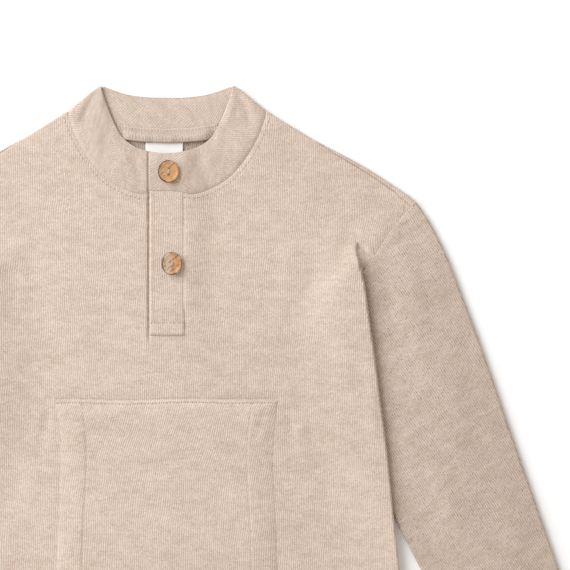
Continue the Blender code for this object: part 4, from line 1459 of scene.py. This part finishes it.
def make_collar():
    left = collar_half(True)
    right = collar_half(False)
    sections = [(section, -1.0) for section in reversed(right[1:])] + [(section, 1.0) for section in left]
    shares = np.linspace(0.0, 1.0, 48)
    roll = np.linspace(0.0, math.pi, 8)[1:-1]
    points = []
    uvs = []
    for section, side in sections:
        base, top = np.array(section.base), np.array(section.top)
        length = np.hypot(*(top - base))
        up = (top - base) / length
        base = base - up * COLLAR_BITE
        length -= HALF_WALL * 0.9 - COLLAR_BITE
        out = np.array([*(math.cos(section.turn) * fold_out), math.sin(section.turn)])
        base3 = np.array([*base, section.level])
        up3 = np.array([*up, 0.0])
        belly = 0.35 * np.sin(math.pi * shares)[:, None] * np.array([0.0, 0.0, 1.0])
        seam = 1.0 - 0.5 * np.exp(-((shares * length / 1.5) ** 2))
        seam = (seam - 0.3 * np.exp(-(((1.0 - shares) * length / 2.2) ** 2)))[:, None]
        spine = base3 + shares[:, None] * length * up3
        faces_up = section.turn > 0.0
        turned_over = np.full(len(spine), faces_up)
        level_uv = collar_wales(spine[:, :2] * (side, 1.0), turned_over)
        course_uv = collar_courses(spine[:, :2] * (side, 1.0), turned_over)
        if section.turn > 1.0:
            rise = crease_relief(spine[:, :2], COLLAR_CREASES) * smooth(shares * length / 4.0)
            if side < 0:
                rise -= 1.0 * np.exp(-(((spine[:, 0] - PLACKET_HALF - 0.9) / 0.9) ** 2))
            belly = belly + rise[:, None] * out
        outer = spine + HALF_WALL * seam * out + belly
        cap = [spine[-1] + HALF_WALL * (0.7 * math.cos(a) * out + 0.9 * math.sin(a) * up3) for a in roll]
        inner = spine - HALF_WALL * seam * out + belly
        ring = np.vstack([outer, cap, inner[::-1]])
        across = np.concatenate([level_uv, level_uv[-1] + 0.8 * np.array(roll), level_uv[::-1]])
        courses = np.concatenate([course_uv, np.full(len(cap), course_uv[-1]), course_uv[::-1]])
        points.append(ring * (side, 1.0, 1.0))
        uvs.append(np.column_stack([across, courses]))
    wide = len(points[0])
    faces = []
    for i in range(len(points) - 1):
        for k in range(wide):
            n = (k + 1) % wide
            faces.append((i * wide + k, i * wide + n, (i + 1) * wide + n, (i + 1) * wide + k))
    last = (len(points) - 1) * wide
    half = len(shares)
    for start, turned in ((0, False), (last, True)):
        for k in range(half - 1):
            quad = (start + k, start + wide - 1 - k, start + wide - 2 - k, start + k + 1)
            faces.append(quad[::-1] if turned else quad)
        tip = tuple(start + k for k in range(half - 1, half + len(roll) + 1))
        faces.append(tip if turned else tip[::-1])
    made = mesh_object("collar_band", np.vstack(points), faces, np.vstack(uvs), collar_cloth)
    work = bmesh.new()
    work.from_mesh(made.data)
    bmesh.ops.recalc_face_normals(work, faces=work.faces)
    work.to_mesh(made.data)
    work.free()
    print("collar_band:", len(faces), "faces")
    return made


collar = make_collar()

# %% [markdown]
# ## Label
#
# A blank woven ribbon, caught in the back neck seam. It is a panel as well, with no ribs
# and with a wall of 0.4 mm, and it curls up a little at its lower corners.

# %% Label
LABEL_LOW = (-14.3, 146.0)
LABEL_HIGH = (10.7, 156.5)


def label_under(points):
    """The label rests on the back and curls up a little at its lower corners."""
    t = (points[:, 0] - LABEL_LOW[0]) / (LABEL_HIGH[0] - LABEL_LOW[0])
    return 2.1 + 0.25 * np.cos(2.0 * math.pi * t) * smooth((LABEL_HIGH[1] - points[:, 1]) / 9.0) + 0.25


label_corners = np.array([
    LABEL_LOW, (LABEL_HIGH[0], LABEL_LOW[1]), LABEL_HIGH, (LABEL_LOW[0], LABEL_HIGH[1]), LABEL_LOW,
])
label = shell(
    "label_ribbon", [("plain", label_corners[i : i + 2]) for i in range(4)], label_under,
    material=ribbon, cloth=0.4, rib_depth=0.0, row=1.5, pitch=3.0, steps=1,
)

# %% [markdown]
# ## Buttons
#
# Turned discs of coconut shell with a low rim, tilted on their thread. The profile is
# spun round, the two holes are drilled with a Boolean, and the result is made a mesh.

# %% Coconut material
VEIN_PLACE = 1.7


def coconut(name, centre, tilt, seed, pale):
    """Warm shell with flecks and long pores. The skin left at the rim is dark."""
    paint = Paint(name)
    place = paint.add("ShaderNodeTexCoord", output="Object")
    local = paint.add(
        "ShaderNodeMapping", {"vector_type": "TEXTURE"},
        {"Vector": place, "Location": tuple(c * 0.001 for c in centre), "Rotation": (0.0, tilt, 0.0)},
    )
    axes = paint.add("ShaderNodeSeparateXYZ", {}, [local])
    x = axes * 1000.0
    y = Wire(paint, axes.socket.node.outputs[1]) * 1000.0
    radius = ((x * 1.05) * (x * 1.05) + y * y).math("SQRT")
    turned = (x * 0.77) + (y * 0.64)
    across = (x * -0.64) + (y * 0.77)
    grain_place = paint.add("ShaderNodeCombineXYZ", {}, [turned * 0.35, across * 1.6, seed])
    grain = paint.add("ShaderNodeTexNoise", {}, {"Vector": grain_place, "Scale": 1.0, "Detail": 3.0})
    cloud_place = paint.add("ShaderNodeCombineXYZ", {}, [x * 0.22, y * 0.2, seed + 3.0])
    cloud = paint.add("ShaderNodeTexNoise", {}, {"Vector": cloud_place, "Scale": 1.0, "Detail": 2.0})
    warm = paint.mix(
        ((cloud - 0.5) * 2.6 + 0.5 + x * 0.05).clamped(),
        pale, (0.64, 0.29, 0.10, 1.0),
    )
    pores = ((grain - 0.58) * 9.0).clamped()
    off_vein = (across - VEIN_PLACE + (cloud - 0.5) * 2.4).math("ABSOLUTE")
    vein = ((0.36 - off_vein) * 7.0).clamped()
    vein = vein * ((grain - 0.40) * 7.0).clamped()
    face = paint.mix(pores, warm, (0.20, 0.085, 0.035, 1.0))
    face = paint.mix(vein, face, (0.13, 0.06, 0.03, 1.0))
    rim_noise = radius + (cloud - 0.5) * 2.2 - x * 0.05
    rim = ((rim_noise - 6.75) * 2.6).clamped()
    relief = paint.add("ShaderNodeBump", {}, {"Height": grain, "Strength": 0.3, "Distance": 0.0002})
    paint.feed(
        base_color=paint.mix(rim, face, (0.10, 0.055, 0.032, 1.0)),
        roughness=rim * 0.15 + 0.38,
        normal=relief,
    )
    paint.shader.inputs["Coat Weight"].default_value = 0.15
    paint.shader.inputs["Coat Roughness"].default_value = 0.3
    return paint.material


# %% [markdown]
# One button sits on the collar's overlap and one on the placket. Each base is the height
# of the cloth's top there, and the tilted disc's low edge stays one seam gap above it.

# %% Button shape
Button = namedtuple("Button", "name x y base tilt pale")
on_collar = COLLAR_LEVEL + COLLAR_OVERLAP_RISE + COLLAR_CLOTH
on_placket = float(body_level(np.array([[3.6, 75.5]]))[0]) + LAYER + CLOTH
BUTTONS = (
    Button("button_1", 1.4, 136.5, on_collar, math.radians(18), (0.71, 0.45, 0.25, 1.0)),
    Button("button_2", 3.6, 75.5, on_placket, math.radians(22), (0.75, 0.60, 0.45, 1.0)),
)
BUTTON_RADIUS = 7.5
BUTTON_OVAL = 0.95
HOLE_RADIUS = 1.1
HOLE_SPACING = 4.1
Turning = namedtuple("Turning", "radius height")
PROFILE = (
    Turning(0.0, -1.2), Turning(5.6, -1.2), Turning(6.6, -0.95), Turning(7.2, -0.5), Turning(7.5, 0.1),
    Turning(7.42, 0.6), Turning(7.1, 1.0), Turning(6.7, 1.15), Turning(6.2, 1.1), Turning(5.75, 0.85),
    Turning(5.3, 0.66), Turning(4.2, 0.58), Turning(2.2, 0.56), Turning(0.0, 0.56),
)


def link(made):
    bpy.context.scene.collection.objects.link(made)
    return made


def frozen(name, source):
    """The evaluated object as a plain mesh object, and the source removed."""
    graph = bpy.context.evaluated_depsgraph_get()
    graph.update()
    mesh = bpy.data.meshes.new_from_object(source.evaluated_get(graph))
    mesh.transform(source.matrix_world)
    bpy.data.objects.remove(source, do_unlink=True)
    mesh.name = name
    return link(bpy.data.objects.new(name, mesh))


def spun(profile, around=72):
    """A closed turned shape, with its poles on the axis."""
    work = bmesh.new()
    rings = []
    for turning in profile:
        count = around if turning.radius > 0 else 1
        ring = []
        for angle in np.linspace(0.0, 2 * math.pi, count, False):
            place = (turning.radius * math.cos(angle), turning.radius * math.sin(angle), turning.height)
            ring.append(work.verts.new(place))
        rings.append(ring)
    for low, high in zip(rings, rings[1:]):
        for k in range(around):
            n = (k + 1) % around
            corners = [low[k % len(low)], low[n % len(low)], high[n % len(high)], high[k % len(high)]]
            work.faces.new(list(dict.fromkeys(corners)))
    bmesh.ops.recalc_face_normals(work, faces=work.faces)
    return work


def button_matrix(button):
    reach = BUTTON_RADIUS * BUTTON_OVAL * math.sin(button.tilt) + 1.2 * math.cos(button.tilt)
    place = Matrix.Translation((button.x, button.y, button.base + SEAM_GAP + reach))
    return place @ Matrix.Rotation(button.tilt, 4, "Y")


def make_button(button, seed):
    work = spun(PROFILE)
    mesh = bpy.data.meshes.new(button.name + "_disc")
    work.to_mesh(mesh)
    work.free()
    disc = link(bpy.data.objects.new(button.name + "_disc", mesh))
    for place in (-0.5, 0.5):
        cutter = bmesh.new()
        bmesh.ops.create_cone(
            cutter, cap_ends=True, segments=28, radius1=HOLE_RADIUS, radius2=HOLE_RADIUS, depth=6.0,
            matrix=Matrix.Translation((0.0, place * HOLE_SPACING, 0.0)),
        )
        drill_mesh = bpy.data.meshes.new("drill")
        cutter.to_mesh(drill_mesh)
        cutter.free()
        drill = link(bpy.data.objects.new("drill", drill_mesh))
        cut = disc.modifiers.new("hole", "BOOLEAN")
        cut.object = drill
        cut.solver = "EXACT"
    solid = frozen(button.name + "_shell", disc)
    for drill in [o for o in bpy.data.objects if o.name.startswith("drill")]:
        bpy.data.objects.remove(drill, do_unlink=True)
    turn = button_matrix(button)
    solid.data.transform(Matrix.Scale(0.001, 4) @ turn @ Matrix.Diagonal((BUTTON_OVAL, 1.0, 1.0, 1.0)))
    solid.data.shade_smooth()
    solid.data.set_sharp_from_angle(angle=math.radians(45))
    solid.data.materials.clear()
    finish = coconut(button.name + "_coconut", turn.translation, button.tilt, seed, button.pale)
    solid.data.materials.append(finish)
    print(solid.name, len(solid.data.polygons), "faces")
    return solid


buttons = [make_button(button, seed) for button, seed in zip(BUTTONS, (4.0, 9.5))]

# %% [markdown]
# Thread holds each button: two strands over the bridge between the holes, each going
# down through both of them. A curve with a bevel gives round thread.

# %% Button thread
def poly_curve(name, lines):
    """A curve object through lines of points in millimetres."""
    data = bpy.data.curves.new(name, "CURVE")
    data.dimensions = "3D"
    for line in lines:
        spline = data.splines.new("POLY")
        spline.points.add(len(line) - 1)
        for point, place in zip(spline.points, line):
            point.co = (*(c * 0.001 for c in place), 1.0)
    return link(bpy.data.objects.new(name + "_lines", data))


def tube(name, lines, radius, material, resolution=3):
    """A thread through each line of points, in millimetres."""
    source = poly_curve(name, lines)
    source.data.bevel_depth = radius * 0.001
    source.data.bevel_resolution = resolution
    source.data.use_fill_caps = True
    made = frozen(name, source)
    made.data.materials.clear()
    made.data.materials.append(material)
    made.data.shade_smooth()
    return made


STRAND_RADIUS = 0.31
STRAND_SHIFT = 0.3
STRAND_REACH = HOLE_SPACING / 2 - 0.8


def button_strands(button):
    turn = button_matrix(button)
    lines = []
    for shift in (-STRAND_SHIFT, STRAND_SHIFT):
        line = []
        for t in np.linspace(0.0, 1.0, 17):
            angle = math.pi * t
            y = -math.cos(angle) * STRAND_REACH
            z = 0.35 + 0.55 * math.sin(angle) ** 0.6
            line.append(turn @ Vector((shift, y, z)))
        head = turn @ Vector((shift, -STRAND_REACH, -1.6))
        foot = turn @ Vector((shift, STRAND_REACH, -1.6))
        lines.append([head, *line, foot])
    return lines


threads = [
    tube(button.name + "_thread", button_strands(button), STRAND_RADIUS, button_thread) for button in BUTTONS
]
print("strands a button:", len(button_strands(BUTTONS[0])))

# %% [markdown]
# ## Stitches
#
# Geometry Nodes set the stitches: a line is resampled at the stitch spacing, each point
# gets a short rounded thread and, between threads, a small dark ball of painted shade
# where the needle went through.

# %% Stitch tree
def stitch_tree():
    tree = bpy.data.node_groups.new("stitches", "GeometryNodeTree")
    sockets = {}
    for name, kind in (
        ("Line", "NodeSocketGeometry"), ("Spacing", "NodeSocketFloat"), ("Thread", "NodeSocketFloat"),
        ("Hole", "NodeSocketFloat"), ("Thread Material", "NodeSocketMaterial"),
        ("Hole Material", "NodeSocketMaterial"),
    ):
        sockets[name] = tree.interface.new_socket(name, in_out="INPUT", socket_type=kind).identifier
    tree.interface.new_socket("Stitches", in_out="OUTPUT", socket_type="NodeSocketGeometry")
    given = tree.nodes.new("NodeGroupInput")

    def node(kind, settings=None, **links):
        """A node whose sockets are named by keyword, or numbered as i0, i1 and so on."""
        made = tree.nodes.new(kind)
        for name, value in (settings or {}).items():
            setattr(made, name, value)
        for name, value in links.items():
            numbered = name[0] == "i" and name[1:].isdigit()
            socket = made.inputs[int(name[1:]) if numbered else name.replace("_", " ").title()]
            if hasattr(value, "is_output"):
                tree.links.new(value, socket)
            else:
                socket.default_value = value
        return made

    spaced = node("GeometryNodeResampleCurve", {"mode": "LENGTH"}, curve=given.outputs["Line"],
                  length=given.outputs["Spacing"])
    tangent = node("GeometryNodeInputTangent")
    turn = node("FunctionNodeAlignRotationToVector", {"axis": "X"}, vector=tangent.outputs[0])
    ball = node("GeometryNodeMeshUVSphere", segments=8, rings=5, radius=1.0)
    half_thread = node("ShaderNodeMath", {"operation": "MULTIPLY"}, i0=given.outputs["Spacing"], i1=0.40)
    thread_size = node("ShaderNodeCombineXYZ", i0=half_thread.outputs[0], i1=given.outputs["Thread"],
                       i2=given.outputs["Thread"])
    half_step = node("ShaderNodeMath", {"operation": "MULTIPLY"}, i0=given.outputs["Spacing"], i1=0.5)
    ahead = node("ShaderNodeCombineXYZ", i0=half_step.outputs[0])
    one_thread = node("GeometryNodeTransform", geometry=ball.outputs[0], translation=ahead.outputs[0],
                      scale=thread_size.outputs[0])
    hole_size = node("ShaderNodeCombineXYZ", i0=given.outputs["Hole"], i1=given.outputs["Hole"],
                     i2=given.outputs["Hole"])
    one_hole = node("GeometryNodeTransform", geometry=ball.outputs[0], scale=hole_size.outputs[0])
    joined_up = tree.nodes.new("GeometryNodeJoinGeometry")
    for shape, finish in ((one_thread, "Thread Material"), (one_hole, "Hole Material")):
        placed = node("GeometryNodeInstanceOnPoints", points=spaced.outputs[0], instance=shape.outputs[0],
                      rotation=turn.outputs[0])
        real = node("GeometryNodeRealizeInstances", geometry=placed.outputs[0])
        painted = node("GeometryNodeSetMaterial", geometry=real.outputs[0], material=given.outputs[finish])
        tree.links.new(painted.outputs[0], joined_up.inputs[0])
    done = tree.nodes.new("NodeGroupOutput")
    tree.links.new(joined_up.outputs[0], done.inputs[0])
    return tree, sockets


stitches_tree, stitch_sockets = stitch_tree()
print("stitch tree:", len(stitches_tree.nodes), "nodes")


def stitch_rows(name, lines, spacing, thread_radius=0.2, hole=0.36):
    """Stitches along lines of (x, y, z) points in millimetres, as one mesh."""
    source = poly_curve(name, lines)
    sewing = source.modifiers.new("sewing", "NODES")
    sewing.node_group = stitches_tree
    sewing[stitch_sockets["Spacing"]] = spacing * 0.001
    sewing[stitch_sockets["Thread"]] = thread_radius * 0.001
    sewing[stitch_sockets["Hole"]] = hole * 0.001
    sewing[stitch_sockets["Thread Material"]] = thread
    sewing[stitch_sockets["Hole Material"]] = needle_shade
    made = frozen(name, source)
    made.data.shade_smooth()
    print(name, len(made.data.polygons), "faces")
    return made


# %% [markdown]
# Every line of stitches lies on its panel, a little sunk into the cloth, so its heights
# come from the shell below it: a ray goes down on to the finished mesh.

# %% Lay lines on the cloth
def surface(piece):
    mesh = piece.data
    return BVHTree.FromPolygons([v.co for v in mesh.vertices], [p.vertices for p in mesh.polygons])


def laid(line, tree, sink=0.08, blur=2):
    """Points of a flat line on the top of a piece, their heights averaged over the ribs."""
    heights = []
    spots = []
    for x, y in line:
        hit = tree.ray_cast(Vector((x * 0.001, y * 0.001, 0.1)), Vector((0.0, 0.0, -1.0)))[0]
        if hit is not None:
            spots.append((x, y))
            heights.append(hit.z * 1000.0)
    heights = np.array(heights)
    padded = np.pad(heights, blur, mode="edge")
    heights = np.convolve(padded, np.ones(2 * blur + 1) / (2 * blur + 1), mode="valid")
    return [(x, y, z - sink) for (x, y), z in zip(spots, heights)]


def dense(line, step=0.8):
    run = np.concatenate([[0.0], np.cumsum(np.hypot(*np.diff(line, axis=0).T))])
    places = np.linspace(0.0, run[-1], max(2, round(run[-1] / step)))
    return np.stack([np.interp(places, run, line[:, 0]), np.interp(places, run, line[:, 1])], axis=1)


def directions(line):
    """The unit steps along a line and to its left."""
    along = np.gradient(line, axis=0)
    along = along / np.hypot(*along.T)[:, None]
    return along, np.stack([-along[:, 1], along[:, 0]], axis=1)


def beside(line, by):
    """A line moved sideways, to its left if the distance is positive."""
    return line + directions(line)[1] * by


front_top = surface(front)
pocket_top_tree = surface(pocket)
strip_top = surface(placket_upper)
sleeve_tops = (surface(sleeve_left), surface(sleeve_right))

neck_seam = path(FRONT_NECK[:-1], 1.0)
neck_seam = neck_seam[neck_seam[:, 0] > PLACKET_HALF + 1.0]
neck_stitches = [dense(beside(neck_seam, 3.4)), dense(mirrored(beside(neck_seam, 3.4)))]
foot_lines = [np.array([(-72.0, POCKET_FOOT + by), (72.0, POCKET_FOOT + by)]) for by in (2.0, 5.0)]
box_lines = [
    np.array([(-PLACKET_HALF + 1.2, y), (PLACKET_HALF - 1.0, y)]) for y in (PLACKET_FOOT + 1.0, slot_y)
]
facing_lines = (facing_line, mirrored(facing_line))
seams = [
    stitch_rows("neck_stitches", [laid(line, front_top) for line in neck_stitches], 2.9),
    stitch_rows("hem_stitches", [laid(dense(line), front_top) for line in hem_stitches], 3.0),
    stitch_rows("pocket_edge_stitches", [laid(dense(pocket_top_stitches), pocket_top_tree)], 2.4),
    stitch_rows(
        "pocket_facing_stitches", [laid(dense(line), pocket_top_tree) for line in facing_lines],
        2.6, 0.17, 0.24,
    ),
    stitch_rows("pocket_foot_stitches", [laid(dense(line), pocket_top_tree) for line in foot_lines], 3.0),
    stitch_rows("placket_box_stitches", [laid(dense(line), strip_top) for line in box_lines], 2.4, 0.17, 0.3),
]
for side, tree, name in ((1.0, sleeve_tops[0], "left"), (-1.0, sleeve_tops[1], "right")):
    rows = [laid(dense(cuff_row(by)) * (side, 1.0), tree) for by in HEM_ROWS]
    seams.append(stitch_rows(f"cuff_stitches_{name}", rows, 3.0))

# %% [markdown]
# ## Inside the neck
#
# The collar seam's allowance shows inside the back neck: a narrow band, edged by an
# overlock stitch whose loops bite over its raw edge.

# %% Neck allowance
ALLOWANCE_UP = 5.2
ALLOWANCE_DOWN = 4.6


def allowance_under(points):
    return np.full(len(points), COLLAR_CLOTH + 0.28)


seam_round_back = path(BACK_NECK, 1.0)
seam_round_back = seam_round_back[seam_round_back[:, 0] < 35.0]
band_low = beside(seam_round_back, ALLOWANCE_DOWN)
band_high = beside(seam_round_back, -ALLOWANCE_UP)
band_low = np.vstack([band_low[:-1], mirrored(band_low)[::-1]])
band_high = np.vstack([band_high[:-1], mirrored(band_high)[::-1]])


def allowance_rise(points):
    """Four layers of cloth bulge towards the band's lower edge."""
    gap = to_line(points, band_high)[0]
    lump = 0.25 * np.sin(points[:, 0] / 1.9) * np.sin(points[:, 0] / 5.3 + 0.7)
    shown = smooth((31.0 - np.abs(points[:, 0])) / 6.0)
    return (2.0 + lump) * smooth(gap / 6.5) * shown - 0.78 * (1.0 - shown)


# Its darker knit is painted shade, for the collar's shade inside the neck.
allowance = shell(
    "neck_allowance",
    [
        ("hem", band_low[::-1]),
        ("hem", np.array([band_low[0], band_high[0]])),
        ("hem", band_high),
        ("hem", np.array([band_high[-1], band_low[-1]])),
    ],
    allowance_under, cloth=1.1, material=shaded_inside_cloth, row=0.9, pitch=5.0, raised=allowance_rise,
)
allowance_tree = surface(allowance)


def zigzag(line, low, high, pitch):
    """An overlock stitch: thread that goes to and fro between two distances from a line."""
    fine = dense(line, pitch / 6)
    turn = np.arange(len(fine)) / 6 * 2 * math.pi
    swing = (low + high) / 2 + (high - low) / 2 * np.clip(1.4 * np.sin(turn), -1.0, 1.0)
    along, left = directions(fine)
    return fine + left * swing[:, None] + along * (swing * -0.5)[:, None]


overlock_lines = [
    laid(zigzag(band_high, 0.5, 7.9, 2.1), allowance_tree, -0.12, 0),
    laid(zigzag(band_high, 0.6, 1.6, 1.3), allowance_tree, -0.1, 0),
]
overlock = tube("overlock_thread", overlock_lines, 0.23, loop_thread, 1)

# %% [markdown]
# ## Riding, slots and sheets
#
# Every piece rides on the one body. Each cloth piece is declared as a sheet with the size
# and area of its cut that shows, without seam and hem allowances. A sleeve counts all
# round the tube, and the collar's folded band counts once. The neck allowance is 9.8 mm
# wide and is stated as 10 mm, the least that a sheet may be.

# %% Frame calls
def flat_area(parts, layers=1):
    """The area that an outline encloses, in square metres, once for each layer."""
    x, y = outline_of(parts).T
    return layers * abs(np.sum(x * np.roll(y, -1) - y * np.roll(x, -1))) / 2 * 1e-6


Cut = namedtuple("Cut", "piece node width length area rests goes_with")
neck_sewing, hem_sewing, pocket_sewing, facing_sewing, foot_sewing, box_sewing, cuff_left, cuff_right = seams
CUTS = (
    Cut(back, "back", 0.334, 0.375, flat_area(back_parts), [], []),
    Cut(front, "front", 0.320, 0.373, flat_area(front_parts), ["back", sleeve_left, sleeve_right],
        [neck_sewing, hem_sewing]),
    Cut(sleeve_left, "sleeve_left", 0.215, 0.300, flat_area(sleeve_parts, 2), [], [cuff_left]),
    Cut(sleeve_right, "sleeve_right", 0.215, 0.300, flat_area(sleeve_parts, 2), [], [cuff_right]),
    Cut(collar, "collar", 0.345, 0.029, None, [back, front], []),
    Cut(placket_upper, "placket_upper", 0.0226, 0.0967, flat_area(upper_strip_parts), [front], [box_sewing]),
    Cut(placket_under, "placket_under", 0.0203, 0.0885, flat_area(under_strip_parts), [back], []),
    Cut(pocket, "pocket", 0.148, 0.130, flat_area(pocket_parts), [front],
        [pocket_sewing, facing_sewing, foot_sewing]),
    Cut(label, "label", 0.025, 0.0105, None, [back], []),
    Cut(allowance, None, 0.072, 0.0100, None, [collar], [overlock]),
)
for cut in CUTS:
    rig.ride(cut.piece, "root")
    if cut.node:
        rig.replaces(cut.piece, cut.node)
    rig.slot(cut.piece, "label_cloth" if cut.node == "label" else "knit")
    print(cut.piece.name, "flat", round(cut.width * cut.length, 5), "cut", cut.area)
    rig.sheet(
        cut.piece, flat=(cut.width, cut.length), held="laid", rests_on=cut.rests, area=cut.area,
        with_pieces=cut.goes_with,
    )
for button, disc, strands in zip(BUTTONS, buttons, threads):
    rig.ride(disc, "root")
    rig.replaces(disc, button.name)
    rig.slot(disc, "coconut_shell")
    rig.ride(strands, "root")
    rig.slot(strands, "knit")
for piece in [*seams, overlock]:
    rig.ride(piece, "root")
    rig.slot(piece, "knit")

# %% [markdown]
# The garment mustn't outgrow its frame, so the box of the frame and the box of the
# dressed model are written side by side.

# %% Size and finish
final_low, final_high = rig.bounds()
with open("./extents.json", "w") as file:
    json.dump({"frame": [list(frame_low), list(frame_high)], "final": [list(final_low), list(final_high)]}, file)
